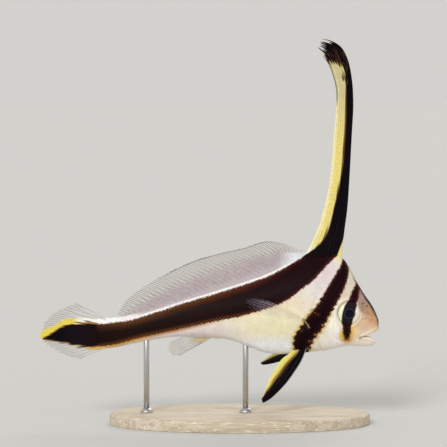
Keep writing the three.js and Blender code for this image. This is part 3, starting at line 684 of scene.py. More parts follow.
tints = np.tile(linear("#ece2cf"), (len(x), 1))
tints = paint(tints, "#efe9c0", 0.9 * patch(22, 36.5, 16, 7))
# White low on the belly: the belly's own pale tone, painted brighter as painted light thrown up from the
# floor
tints = paint(tints, "#f3f4f8", smoothstep(33, 28, z) * smoothstep(-4, 8, x) * smoothstep(40, 32, x))
tints = paint(tints, "#ecdcc4", 0.6 * patch(31, 43.5, 7, 4.5))
tints = paint(tints, "#ebe1e6", 0.95 * patch(-8, 32.8, 16, 4.0))
tints = paint(tints, "#e2dfdf", 0.8 * patch(37.5, 48.5, 4, 5.5))
tints = paint(tints, "#dccfd2", 0.9 * patch(41, 54, 5, 6))
tints = paint(tints, "#e3ccb6", 0.9 * patch(47.5, 46, 2.2, 6))
tints = paint(tints, "#fffcee", patch(44.5, 36, 4.5, 6))
tints = paint(tints, "#fff6f4", 0.95 * patch(46, 28, 8, 3.8))
brow = smoothstep(-3.0, -0.4, z - 41.5 + 0.9 * (x - 54)) * smoothstep(51.4, 52.9, x + 0.12 * (z - 44))
tints = paint(tints, "#b08d82", 0.95 * brow)
tints = paint(tints, "#a48c68", 0.3 * patch(55.6, 42.3, 1.6, 2.6))
tints = paint(tints, "#d49f66", 0.9 * patch(57.6, 37.6, 4.2, 4.2))
tints = paint(tints, "#d9b494", 0.75 * patch(53.8, 35.0, 3.2, 2.8))
tints = paint(tints, "#fff0e0", 0.9 * patch(57, 29.5, 4, 1.8))
print("mean ground colour:", np.round(tints.mean(axis=0), 2))

# %% White and golden lines beside the bands
on_back = smoothstep(-0.6, 0.0, above_long) * (x < 33)
tints = paint(tints, "#f5f2f0", on_back)
under_sheath = smoothstep(-29, -22, x) * smoothstep(30, 24, x)
tints = paint(tints, "#bdb0b3", 0.95 * under_sheath * smoothstep(0.5, 1.1, above_long))
gold_below = smoothstep(1.3, 0.2, below_long) * (below_long > -0.7) * smoothstep(-41, -35, x)
tints = paint(tints, "#c88c48", 0.85 * gold_below * smoothstep(10, -8, x))
tints = paint(tints, "#e0b04c", 0.8 * gold_below * smoothstep(-18, -28, x))
tints = paint(tints, "#d9a074", 0.3 * gold_below * smoothstep(6, 16, x) * smoothstep(34, 26, x))
halo = smoothstep(-1.7, -0.1, nape_band) * smoothstep(48, 36, z)
tints = paint(tints, "#dfc067", 0.8 * halo)
tints = paint(tints, "#936e2c", 0.9 * smoothstep(-0.5, 0.2, nape_band) * smoothstep(48, 40, z))
tints = paint(tints, "#f2d49a", 0.9 * patch(51.0, 33.4, 2.0, 3.2))
tints = paint(tints, "#dfb53a", smoothstep(-1.7, -0.2, low_eye) * bump(z - 31.9, 2.5))
tints = paint(tints, "#c98a2c", 0.8 * patch(48.7, 30.2, 1.5, 1.4))
tints = paint(tints, "#d8ba30", 0.8 * patch(46.6, 31.8, 0.8, 1.6))
tints = paint(tints, "#9c5f1c", 0.9 * smoothstep(-0.3, 0.5, low_eye) * smoothstep(33.0, 31.0, z))
tints = paint(tints, "#efe7d6", 0.6 * bump(eye_distance - 5.0, 0.7) * smoothstep(50.5, 48.5, x))
tints = paint(tints, "#b3925a", smoothstep(0.9, 0.4, stroke))
print("points gilded below the long band:", int((gold_below > 0.5).sum()))

# %% Small marks of the head
nape_glow = bump(np.hypot(x - 46.0, z - 60.0), 2.2)
tints = paint(tints, "#efe08c", 0.9 * nape_glow)
profile_glow = smoothstep(2.8, 1.2, np.abs(skin[:, 1])) * smoothstep(46.5, 49, x) * smoothstep(52.4, 51, x)
tints = paint(tints, "#d8cd96", 0.75 * profile_glow * (z > 44))
freckles = np.random.default_rng(5).uniform((52.4, 37.0), (58.2, 48.0), (FRECKLES, 2))
for freckle in freckles:
    tints = paint(tints, "#7d5c5e", 0.3 * bump(np.hypot(*(side_view - freckle).T), 0.22))
for nostril in NOSTRILS:
    tints = paint(tints, "#4a3434", 0.5 * bump(np.hypot(*(side_view - nostril).T), 0.4))
# Brown along the closed slit behind the mouth's opening: painted shade in the crease between the lips
mouth_slit_shade = bump(distance(np.array(MOUTH[4:7]), side_view), 0.35)
tints = paint(tints, "#7a4630", 0.7 * mouth_slit_shade)
brow_line = smoothstep(2.3, 1.1, np.abs(skin[:, 1])) * smoothstep(50, 52.5, x) * smoothstep(34.5, 37, z)
tints = paint(tints, "#3a2822", 0.85 * brow_line)
tints = paint(tints, "#1d1410", 0.85 * brow_line * smoothstep(46.5, 43.5, z))
print("freckles:", FRECKLES)

# %% The skin's mesh
skin_values = {
    "band": band_depth,
    "rust": rust_weight,
    "scaled": scaled,
    "scale_along": scale_along,
    "scale_across": scale_across,
}
fish_skin = make_mesh("fish_skin", skin, skin_faces, skin_material, skin_values, tints)
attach(fish_skin, "root")
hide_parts("head", "lower_jaw", "torso", "tail_stalk")

# %% [markdown]
# ## Fin finish
#
# A fin is a double sheet of very thin skin over rays of bone. Where it holds dark or yellow cells
# it is opaque, and elsewhere it is nearly as clear as wet film, with the rays showing in it. So two
# finishes are enough, and both read their colour from the mesh. The clear one also reads how much
# it covers. A fine speckle, 0.5 mm from spot to spot, varies the tone of both.

# %% Fin finishes
SPECKLE_SIZE = 0.5


def fin_material(name, clear):
    """The finish of a fin. A clear one also reads from the mesh how much it covers."""
    material, tree, output = new_material(name)
    tint = add(tree, "ShaderNodeAttribute", attribute_name="tint")
    place = add(tree, "ShaderNodeTexCoord")
    speckle = add(
        tree, "ShaderNodeTexNoise",
        {"Vector": place.outputs["Object"], "Scale": 1 / (SPECKLE_SIZE * MM), "Detail": 3.0},
    )
    shade = add(tree, "ShaderNodeMapRange", {0: speckle.outputs["Fac"], 1: 0.3, 2: 0.7, 3: 0.86, 4: 1.1})
    shaded = add(
        tree, "ShaderNodeVectorMath", {0: tint.outputs["Color"], "Scale": shade.outputs[0]}, operation="SCALE"
    )
    ripple = add(
        tree, "ShaderNodeBump", {"Height": speckle.outputs["Fac"], "Strength": 0.3, "Distance": 0.04 * MM}
    )
    sockets = {
        "Base Color": shaded.outputs[0],
        "Roughness": 0.55,
        "IOR": 1.40,
        "Specular IOR Level": 0.06,
        "Coat Weight": 0.02,
        "Coat Roughness": 0.3,
        "Coat IOR": 1.34,
        "Normal": ripple.outputs[0],
    }
    if clear:
        cover = add(tree, "ShaderNodeAttribute", attribute_name="cover")
        sockets["Alpha"] = cover.outputs["Fac"]
    surface = add(tree, "ShaderNodeBsdfPrincipled", sockets)
    tree.links.new(surface.outputs[0], output.inputs[0])
    return material


dark_fin_material = fin_material("pigmented_fin_skin", clear=False)
clear_fin_material = fin_material("clear_fin_skin", clear=True)
print("fin finishes:", dark_fin_material.name, clear_fin_material.name)

# %% [markdown]
# ## Building a fin
#
# Every fin is one closed sheet round a grid of middle points: one direction of the grid goes from
# ray to ray, the other from root to margin. The thickness is raised where a ray runs, and the rays
# of the soft fins fork towards the margin. The web falls back a little between the ray tips, and no
# two rays are quite the same length.


# %% Helpers for fins
def closed_sheet(grid, half):
    """Points and faces of a thin closed sheet, half thick to each side of a grid of middle points."""
    normal = np.cross(np.gradient(grid, axis=0), np.gradient(grid, axis=1))
    normal /= np.maximum(np.linalg.norm(normal, axis=2, keepdims=True), 1e-9)
    shift = normal * half[..., None]
    points = np.concatenate([(grid + shift).reshape(-1, 3), (grid - shift).reshape(-1, 3)])
    ids = np.arange(half.size).reshape(half.shape)
    front = np.stack([ids[:-1, :-1], ids[1:, :-1], ids[1:, 1:], ids[:-1, 1:]], axis=-1).reshape(-1, 4)
    border = np.concatenate([ids[:-1, 0], ids[-1, :-1], ids[:0:-1, -1], ids[0, :0:-1]])
    onward = np.roll(border, -1)
    rim = np.stack([border, border + half.size, onward + half.size, onward], axis=-1)
    return points, np.concatenate([front, front[:, ::-1] + half.size, rim])


def ray_pattern(rays, columns, rows, forks=0, width=0.16):
    """How much of each grid point is ray, from 0 to 1, and its place between two rays.

    Each ray forks the given number of times, 0, 1 or 2, on its way to the margin.
    """
    s = np.linspace(0, 1, columns)[:, None]
    t = np.linspace(0, 1, rows)[None, :]
    place = s * (rays - 1)
    off = place - np.round(place)
    spread = 0.25 * min(forks, 1) * smoothstep(0.35, 0.85, t)
    twigs = 0.12 * max(forks - 1, 0) * smoothstep(0.65, 1.0, t)
    ray = 0.0
    for branch in (spread - twigs, spread + twigs, -spread - twigs, twigs - spread):
        ray = np.maximum(ray, bump(off - branch, width))
    return ray, off * np.ones_like(t)


def ray_grid(rays, columns, rows, fray, dip, seed):
    """For each point of a fin, its share of the way across the rays and its share along them."""
    t = margin_reach(rays, columns, fray, dip, seed)[:, None] * np.linspace(0, 1, rows)[None, :]
    return np.broadcast_to(np.linspace(0, 1, columns)[:, None], t.shape), t


def margin_reach(rays, columns, fray, dip, seed):
    """How far each column of a fin reaches, as a share of its full length."""
    rng = np.random.default_rng(seed)
    place = np.linspace(0, rays - 1, columns)
    tips = 1 - fray * rng.random(rays)
    off = place - np.round(place)
    return np.interp(place, np.arange(rays), tips) - dip * np.sin(math.pi * np.abs(off)) ** 2


def streaks(columns, rows, cells, seed):
    """Smooth noise from -1 to 1 over a fin, with the given number of random cells each way."""
    rough = np.random.default_rng(seed).uniform(-1, 1, (cells[0] + 1, cells[1] + 1))
    fine_rows, coarse_rows = np.linspace(0, cells[1], rows), np.arange(cells[1] + 1)
    fine_columns, coarse_columns = np.linspace(0, cells[0], columns), np.arange(cells[0] + 1)
    across = np.array([np.interp(fine_rows, coarse_rows, r) for r in rough])
    return np.array([np.interp(fine_columns, coarse_columns, c) for c in across.T]).T


def make_fin(name, grid, half, colours, material, replaced, cover=None):
    """A fin as a closed sheet, in place of the solids whose nodes are named."""
    points, faces = closed_sheet(grid, half)
    values = {} if cover is None else {"cover": np.tile(np.clip(cover, 0, 1).ravel(), 2)}
    made = make_mesh(name, points, faces, material, values, np.tile(colours, (2, 1)))
    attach(made, "root")
    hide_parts(*replaced)
    return made


# %% [markdown]
# ## The tall first dorsal fin
#
# It is a blade of ten spines that rises from the nape to more than the fish's own depth again, and
# its tip is frayed and bent back. The front is black and the back is a band of yellow, which turns
# whiter at the rear edge. The spines lie nearly along it, so its ridges run from root to tip.

# %% Outline of the first dorsal fin
BLADE_FRONT = [(46.6, 57.4), (46.9, 61.0), (47.8, 68.8), (48.8, 77.0), (49.5, 88.0), (50.2, 102.0),
               (50.7, 113.0), (50.2, 121.5), (48.7, 128.6), (46.3, 132.9), (42.4, 135.2), (38.6, 135.6)]
BLADE_BACK = [(31.2, 56.6), (34.2, 60.7), (37.4, 66.6), (39.8, 73.4), (41.9, 81.9), (43.1, 90.0),
              (43.9, 100.0), (44.7, 111.0), (44.8, 117.2), (43.5, 123.0), (41.2, 128.2), (37.6, 132.4)]
BLADE_YELLOW = np.vstack([
    smooth([(31, 58), (34.4, 60.1), (37.3, 62.1), (40.0, 64.7), (42.3, 69.4), (44.1, 76.1), (45.2, 80.5),
            (46.4, 86.3), (47.1, 92.8), (47.9, 103), (48.1, 110), (48.2, 117), (47.9, 122), (46.6, 126),
            (44.6, 127.6), (42.4, 127), (41, 126), (38, 124)], np.linspace(0, 1, 120)),
    [(38, 100), (33, 75), (28, 60)],
])
BLADE_SPINES = 10
print("top of the first dorsal fin in mm:", max(z for _, z in BLADE_FRONT))

# %% Shape of the first dorsal fin
columns, rows = (BLADE_SPINES - 1) * 14 + 1, 300
t = np.linspace(0, 1, rows)
s = np.linspace(0, 1, columns)
reach_out = margin_reach(BLADE_SPINES, columns, 0.05, 0.03, seed=12)[:, None] * t[None, :]
s_grid = np.broadcast_to(s[:, None], reach_out.shape)
share = s_grid[..., None]
flat = evenly(BLADE_FRONT, reach_out) * (1 - share) + evenly(BLADE_BACK, reach_out) * share
ray, off = ray_pattern(BLADE_SPINES, columns, rows, width=0.13)
pleats = 0.12 * np.cos(2 * math.pi * off) * smoothstep(0.02, 0.2, t)
sway = pleats + 0.25 * np.sin(5 * t) * smoothstep(0.1, 0.5, t)
blade_grid = np.stack([flat[..., 0], sway * np.ones_like(off), flat[..., 1]], axis=-1)
half = 0.12 + 0.4 * (1 - t) ** 2.5 + (0.05 + 0.16 * (1 - t)) * ray
half[0] = half[1] = 0.26 * (1 - t) + 0.1
half[-1] = 0.04
half[:, -1] = 0.03
print("blade thickness in mm, up to", round(2 * float(half.max()), 2))

# %% Colours of the first dorsal fin
blade_xz = flat.reshape(-1, 2)
blade_z = blade_xz[:, 1]
blade_s = s_grid.ravel()
wobble = streaks(columns, rows, (40, 24), seed=3).ravel() * (0.25 + 1.6 * smoothstep(117, 125, blade_z))
yellow = depth_inside(BLADE_YELLOW, blade_xz) + wobble
from_back = (1 - s_grid).ravel() * 7
blade_tints = np.tile(linear(INK), (len(blade_xz), 1))
plum_streaks = streaks(columns, rows, (60, 12), seed=5).ravel()
blade_tints = paint(blade_tints, "#1b1118", 0.6 * smoothstep(-1, 1, plum_streaks))
brown_streaks = streaks(columns, rows, (50, 60), seed=7).ravel()
near_tip = 0.75 * smoothstep(124, 127, blade_z) * smoothstep(133, 129.5, blade_z)
blade_tints = paint(blade_tints, "#6a4026", near_tip * smoothstep(0.0, 0.8, brown_streaks))
blade_tints = paint(blade_tints, "#6d5620", smoothstep(-0.25, 0.1, yellow))
blade_tints = paint(blade_tints, "#ecdb88", smoothstep(0.05, 0.55, yellow))
blade_tints = paint(blade_tints, "#d3c79a", smoothstep(0.1, 0.9, yellow) * smoothstep(98, 120, blade_z))
pale_rear = 0.8 * smoothstep(1.6, 0.4, from_back) * smoothstep(0.3, 0.9, yellow)
blade_tints = paint(blade_tints, "#f6efc0", pale_rear)
gold_streaks = streaks(columns, rows, (44, 8), seed=6).ravel()
blade_tints = paint(blade_tints, "#b99a3c", 0.25 * (yellow > 0.5) * smoothstep(0.2, 0.9, gold_streaks))
blade_tints = paint(blade_tints, "#f6f3ea", smoothstep(63.5, 60.5, blade_z) * (yellow > 0.1))
strip_width = np.interp(blade_z, [57, 59, 62, 67], [0.17, 0.14, 0.08, 0.0])
front_strip = smoothstep(0.0, 0.35, strip_width * 12 - blade_s * 12)
blade_tints = paint(blade_tints, "#e9d98a", front_strip)
wisp = smoothstep(0.90, 0.97, blade_s) * smoothstep(111, 115, blade_z) * smoothstep(129, 126, blade_z)
blade_tints = paint(blade_tints, "#3a2c22", 0.8 * wisp)
make_fin("first_dorsal_blade", blade_grid, half, blade_tints, dark_fin_material,
         ["dorsal_fin_spiny", "dorsal_fin_spiny_tip"])

# %% [markdown]
# ## The long second dorsal fin
#
# Its lower half is wrapped in a sheath of lilac-grey skin, and its outer half is clear, with more
# than forty rays that fork near a thin dark margin. It leans back, and meets the tall fin's rear
# edge in front. The root follows the back's outline, a little inside the skin.

# %% Outline of the second dorsal fin
SAIL_RAYS = 44
SAIL_KEYS = [(-28.0, -32.4, 38.6), (-21.3, -29.2, 43.7), (-15.1, -25.8, 46.7), (-2.7, -17.4, 51.9),
             (9.7, -6.6, 57.2), (21.5, 3.6, 60.3), (26.8, 12.0, 62.2), (29.6, 20.0, 64.6), (31.2, 26.0, 64.0),
             (32.6, 30.4, 62.4), (33.6, 34.3, 61.6)]
ROOT_SUNK = 1.3
SAIL_BOW = 0.05
BEHIND_BLADE = 0.3
back_line = smooth(BACK, np.linspace(0, 1, 400))
back_line = back_line[back_line[:, 0] < 47][::-1]
blade_edge = smooth(BLADE_BACK, np.linspace(0, 1, 300))
key_x = np.linspace(SAIL_KEYS[0][0], SAIL_KEYS[-1][0], 400)
margin_steps = np.linalg.norm(np.diff(between(SAIL_KEYS, key_x), axis=0), axis=1)
margin_length = np.concatenate([[0], np.cumsum(margin_steps + 0.4 * np.diff(key_x))])


def sail_point(s, t):
    """Points of side view: s goes from the rearmost ray to the front, spaced along the margin."""
    root_x = np.interp(s * margin_length[-1], margin_length, key_x)
    tip = between(SAIL_KEYS, root_x)
    root = np.stack([root_x, np.interp(root_x, back_line[:, 0], back_line[:, 1]) - ROOT_SUNK], axis=-1)
    ray = tip - root
    bow = np.sin(math.pi * t) * SAIL_BOW
    ray_x, ray_z = ray[..., 0], ray[..., 1]
    return root + np.stack([ray_x * t + ray_z * bow, ray_z * t - ray_x * bow], axis=-1)


print("length of the second dorsal fin's margin in mm:", round(float(margin_length[-1])))

# %% Shape of the second dorsal fin
columns, rows = (SAIL_RAYS - 1) * 18 + 1, 62
s = np.linspace(0, 1, columns)
steps = np.linspace(0, 1, 200)
trial = sail_point(s[:, None] * np.ones(200), steps * np.ones((columns, 1)))
blocked = trial[..., 0] > np.interp(trial[..., 1], blade_edge[:, 1], blade_edge[:, 0]) - BEHIND_BLADE
start = np.array([steps[np.nonzero(hidden)[0].max()] if hidden.any() else 0.0 for hidden in blocked])
start = np.minimum(start, 0.9)
t = start[:, None] + (1 - start[:, None]) * np.linspace(0, 1, rows)
t = t * margin_reach(SAIL_RAYS, columns, 0.014, 0.008, seed=21)[:, None]
s_grid = np.broadcast_to(s[:, None], t.shape)
flat = sail_point(s_grid, t)
ray, off = ray_pattern(SAIL_RAYS, columns, rows, forks=1, width=0.11)
sway = 0.25 * np.sin(9 * s_grid + 3 * t) * t + 0.05 * np.cos(2 * math.pi * off)
sail_grid = np.stack([flat[..., 0], sway, flat[..., 1]], axis=-1)
half = 0.06 + 0.55 * (1 - t) ** 3 + 0.07 * ray * smoothstep(0.1, 0.5, t)
half[:, -1] = 0.02
half[-1] = np.minimum(half[-1], 0.08)
half[0] = 0.04
print("columns of the second dorsal fin that start above the blade:", int((start > 0).sum()))

# %% Colours of the second dorsal fin
sail_s, sail_t, sail_ray = s_grid.ravel(), t.ravel(), ray.ravel()
sheath = smoothstep(0.72, 0.38, sail_t + 0.05 * streaks(columns, rows, (90, 3), seed=22).ravel())
sail_tints = np.tile(linear("#d8d0c9"), (len(sail_s), 1))
sail_tints = paint(sail_tints, "#827a70", 0.9 * sail_ray)
sail_tints = paint(sail_tints, "#b9abaf", sheath)
sail_tints = paint(sail_tints, "#d6ccce", 0.6 * sheath * sail_ray * smoothstep(0.35, 0.55, sail_t))
sail_mottle = streaks(columns, rows, (60, 9), seed=23).ravel()
sail_tints = paint(sail_tints, "#c9bfb6", 0.5 * sheath * smoothstep(0.0, 0.9, sail_mottle))
sail_tints = paint(sail_tints, "#c6bbbe", smoothstep(0.25, 0.12, sail_t))
sail_x, sail_z = flat[..., 0].ravel(), flat[..., 1].ravel()
# White-blue at the front of the root, where the sail meets the back: the sheath's pale skin with a painted
# highlight of the back's ridge
front_root_pale_and_highlight = smoothstep(23.5, 31.0, sail_x) * smoothstep(62.2, 59.8, sail_z)
sail_tints = paint(sail_tints, "#e9edf0", 0.9 * front_root_pale_and_highlight)
margin = smoothstep(0.955, 0.985, sail_t) * smoothstep(0.2, 0.4, sail_s) * smoothstep(0.96, 0.8, sail_s)
sail_tints = paint(sail_tints, "#4c443e", 0.9 * margin)
sail_cover = 0.10 + 0.45 * sail_ray * smoothstep(0.98, 0.9, sail_s) + 0.75 * sheath + 0.5 * margin
sail_cover += 0.6 * front_root_pale_and_highlight
make_fin("second_dorsal_sail", sail_grid, half, sail_tints, clear_fin_material,
         ["dorsal_fin_soft"], sail_cover)

# %% [markdown]
# ## Tail and anal fins
#
# The tail fin carries on the long band to a point, with a white and then yellow strip above it. The
# lobes above and below are clear. The anal fin is small, clear and slanted back, with a dark strong
# spine in front.

# %% Shape of the tail fin
TAIL_RAYS = 19
TAIL_ROOT_X = -36.4
TAIL_KEYS = [(26.9, -45.6, 22.8), (28.2, -51.4, 24.4), (29.9, -56.2, 27.3), (32.2, -60.05, 31.0),
             (34.3, -58.2, 35.9), (35.9, -53.8, 39.9), (37.3, -46.6, 43.0)]
columns, rows = (TAIL_RAYS - 1) * 24 + 1, 110
s_grid, t = ray_grid(TAIL_RAYS, columns, rows, 0.03, 0.03, seed=31)
root_z = TAIL_KEYS[0][0] + (TAIL_KEYS[-1][0] - TAIL_KEYS[0][0]) * s_grid
tips = between(TAIL_KEYS, root_z)
roots = np.stack([np.full(t.shape, TAIL_ROOT_X), root_z], axis=-1)
flat = roots + (tips - roots) * t[..., None]
ray, off = ray_pattern(TAIL_RAYS, columns, rows, forks=2, width=0.06)
sway = 0.3 * np.sin(3 * s_grid + 1.0) * t ** 2 + 0.04 * np.cos(2 * math.pi * off)
tail_grid = np.stack([flat[..., 0], sway, flat[..., 1]], axis=-1)
half = 0.07 + 0.6 * (1 - t) ** 1.6 + 0.09 * ray * smoothstep(0.0, 0.3, t)
half[:, -1] = 0.02
half[0] = half[-1] = 0.05
print("tail fin ends at X in mm:", round(float(flat[..., 0].min()), 1))

# %% Colours of the tail fin
tail_xz = flat.reshape(-1, 2)
tail_streaks = streaks(columns, rows, (70, 6), seed=32).ravel()
tail_ray = ray.ravel()
tail_black = depth_inside(LONG_BAND, tail_xz) + 0.8 * tail_streaks * bump(tail_xz[:, 0] + 47, 8)
above = tail_xz[:, 1] - np.interp(tail_xz[:, 0], BAND_TOP[::-1, 0], BAND_TOP[::-1, 1])
below = np.interp(tail_xz[:, 0], BAND_BOTTOM[::-1, 0], BAND_BOTTOM[::-1, 1]) - tail_xz[:, 1]
strip_height = np.interp(tail_xz[:, 0], [-57, -52, -46, -40], [2.7, 2.2, 2.0, 1.6])
strip = smoothstep(0.3, -0.3, above + 0.5 * tail_streaks - strip_height) * smoothstep(-1.4, -0.6, above)
tail_tints = np.tile(linear("#d5d0c6"), (len(tail_xz), 1))
tail_tints = paint(tail_tints, "#857d72", 0.8 * tail_ray)
tail_tints = paint(tail_tints, "#fbf8f2", strip)
tail_tints = paint(tail_tints, "#a59a8c", 0.5 * strip * smoothstep(0.1, 0.7, tail_streaks))
tail_tints = paint(tail_tints, "#e8d45a", strip * smoothstep(-44.5, -48.5, tail_xz[:, 0]))
low_gold = smoothstep(1.5, 0.3, below) * (below > -0.4) * smoothstep(-46, -41, tail_xz[:, 0])
tail_tints = paint(tail_tints, "#e0b04c", low_gold)
blurred = smoothstep(-48, -44, tail_xz[:, 0]) * smoothstep(0.9, 0.0, np.abs(above))
tail_tints = paint(tail_tints, "#946c2c", smoothstep(-0.4, 0.0, tail_black))
inked = smoothstep(-0.1, 0.35, tail_black - 0.5 * blurred * (1 + tail_streaks))
tail_tints = paint(tail_tints, INK, inked)
at_root = smoothstep(-47, -40, tail_xz[:, 0])
tail_tints = paint(tail_tints, "#281a28", 0.25 * inked * smoothstep(-54, -48, tail_xz[:, 0]) * (1 - at_root))
tail_tints = paint(tail_tints, "#2e150a", 0.25 * inked * at_root)
scaly_root = smoothstep(0.16, 0.04, t.ravel())
tail_cover = 0.08 + 0.42 * tail_ray + strip + low_gold + smoothstep(-0.5, 0.0, tail_black) + scaly_root
make_fin("tail_web", tail_grid, half, tail_tints, clear_fin_material, ["tail_fin"], tail_cover)

# %% Anal fin
ANAL_RAYS = 9
ANAL_KEYS = [(-6.3, -14.0, 28.8), (-4.0, -14.9, 26.3), (-1.2, -14.0, 24.3), (3.2, -11.0, 23.7)]
belly_line = smooth(BELLY, np.linspace(0, 1, 400))
belly_line = belly_line[belly_line[:, 0] < 47][::-1]
columns, rows = (ANAL_RAYS - 1) * 16 + 1, 80
s_grid, t = ray_grid(ANAL_RAYS, columns, rows, 0.06, 0.05, seed=41)
root_x = ANAL_KEYS[0][0] + (ANAL_KEYS[-1][0] - ANAL_KEYS[0][0]) * s_grid
roots = np.stack([root_x, np.interp(root_x, belly_line[:, 0], belly_line[:, 1]) + ROOT_SUNK], axis=-1)
flat = roots + (between(ANAL_KEYS, root_x) - roots) * t[..., None]
ray, off = ray_pattern(ANAL_RAYS, columns, rows, forks=1, width=0.11)
sway = 0.15 * np.sin(6 * s_grid) * t + 0.04 * np.cos(2 * math.pi * off)
anal_grid = np.stack([flat[..., 0], sway, flat[..., 1]], axis=-1)
half = 0.06 + 0.4 * (1 - t) ** 2 + 0.1 * ray + 0.22 * bump(s_grid - 1, 0.03) * (1 - 0.7 * t)
half[:, -1] = 0.02
half[0] = half[-1] = 0.05
anal_ray, anal_t, anal_s = ray.ravel(), t.ravel(), s_grid.ravel()
anal_tints = np.tile(linear("#d9d3c8"), (anal_ray.size, 1))
anal_tints = paint(anal_tints, "#9b9488", 0.8 * anal_ray)
fleshy = smoothstep(0.55, 0.25, anal_t) * smoothstep(0.2, 0.7, anal_s)
anal_tints = paint(anal_tints, "#d0bf9c", fleshy)
dark_spine = bump(anal_s - 1, 0.03) * smoothstep(0.1, 0.25, anal_t) * smoothstep(0.6, 0.4, anal_t)
anal_tints = paint(anal_tints, "#4a3a30", dark_spine)
anal_cover = 0.08 + 0.5 * anal_ray + 0.8 * fleshy + 0.6 * smoothstep(0.95, 0.99, anal_s)
make_fin("anal_web", anal_grid, half, anal_tints, clear_fin_material, ["anal_fin"], anal_cover)

# %% [markdown]
# ## Belly and breast fins
#
# The belly fins are long and stiff, black in front and yellow behind, and black again at the tip.
# The right one trails downwards and the left one is held out to the side, as a fish does to keep
# level. The breast fins are small clear fans just behind the gill covers.

# %% Belly fins
BELLY_FIN_RAYS = 6
BELLY_FIN_FRONT = [(34.6, 27.4), (32.4, 22.4), (30.0, 18.6), (27.6, 15.2), (24.6, 11.8), (21.7, 9.1),
                   (18.8, 7.3)]
BELLY_FIN_BACK = [(30.0, 27.4), (28.1, 25.0), (25.8, 23.2), (23.4, 19.8), (21.7, 16.9), (20.2, 13.0),
                  (18.5, 8.6)]
BELLY_FIN_ROOT_Y = 2.9
BELLY_FIN_ROOT_Z = 26.2
BELLY_FIN_REACH_Y = 4.2
BELLY_FIN_CAMBER = 0.8
LEFT_SPREAD = math.radians(53)
columns, rows = (BELLY_FIN_RAYS - 1) * 20 + 1, 160
for word, way in (("right", -1), ("left", 1)):
    s_grid, t = ray_grid(BELLY_FIN_RAYS, columns, rows, 0.02, 0.015, seed=51)
    share = s_grid[..., None]
    flat = evenly(BELLY_FIN_FRONT, t) * (1 - share) + evenly(BELLY_FIN_BACK, t) * share
    ray, off = ray_pattern(BELLY_FIN_RAYS, columns, rows, forks=1, width=0.12)
    camber = BELLY_FIN_CAMBER * np.sin(math.pi * s_grid) * np.sin(math.pi * t)
    camber = camber + 0.05 * np.cos(2 * math.pi * off)
    y = way * (BELLY_FIN_ROOT_Y + BELLY_FIN_REACH_Y * t ** 1.2 + camber)
    z = flat[..., 1] + 0.7 * t
    if way > 0:
        dy, dz = y - way * BELLY_FIN_ROOT_Y, z - BELLY_FIN_ROOT_Z
        y = way * BELLY_FIN_ROOT_Y + dy * math.cos(LEFT_SPREAD) - dz * math.sin(LEFT_SPREAD)
        z = BELLY_FIN_ROOT_Z + dy * math.sin(LEFT_SPREAD) + dz * math.cos(LEFT_SPREAD)
    grid = np.stack([flat[..., 0], y, z], axis=-1)
    half = 0.1 + 0.4 * (1 - t) ** 2 + (0.07 + 0.1 * (1 - t)) * ray
    half += 0.16 * bump(s_grid, 0.05) * (1 - 0.6 * t)
    half[:, -1] = 0.03
    half[-1] = 0.05
    split = np.interp(t.ravel(), [0.0, 0.2, 0.5, 0.75, 0.93, 1.0], [0.46, 0.56, 0.61, 0.71, 0.92, 1.2])
    grain_s = streaks(columns, rows, (30, 8), seed=52).ravel()
    past = (s_grid.ravel() - split) * 6.0 + 0.25 * grain_s
    tints = np.tile(linear(INK), (past.size, 1))
    tints = paint(tints, "#221a2a", 0.6 * smoothstep(-0.2, 0.8, grain_s))
    tints = paint(tints, "#8a6722", smoothstep(-0.6, 0.3, past))
    tints = paint(tints, "#e3d574", smoothstep(0.1, 1.1, past))
    # Lilac-grey along the rounded front spine: painted sheen
    tints = paint(tints, "#c9bcc0", 0.5 * smoothstep(0.035, 0.015, s_grid.ravel()))
    # Pale yellow along the rear edge: a painted highlight on the fin's yellow
    tints = paint(tints, "#f4edb4", 0.8 * smoothstep(0.9, 1.0, s_grid.ravel()) * (past > 0.3))
    make_fin(f"belly_fin_{word}", grid, half, tints, dark_fin_material, [f"pelvic_fin_{word}"])

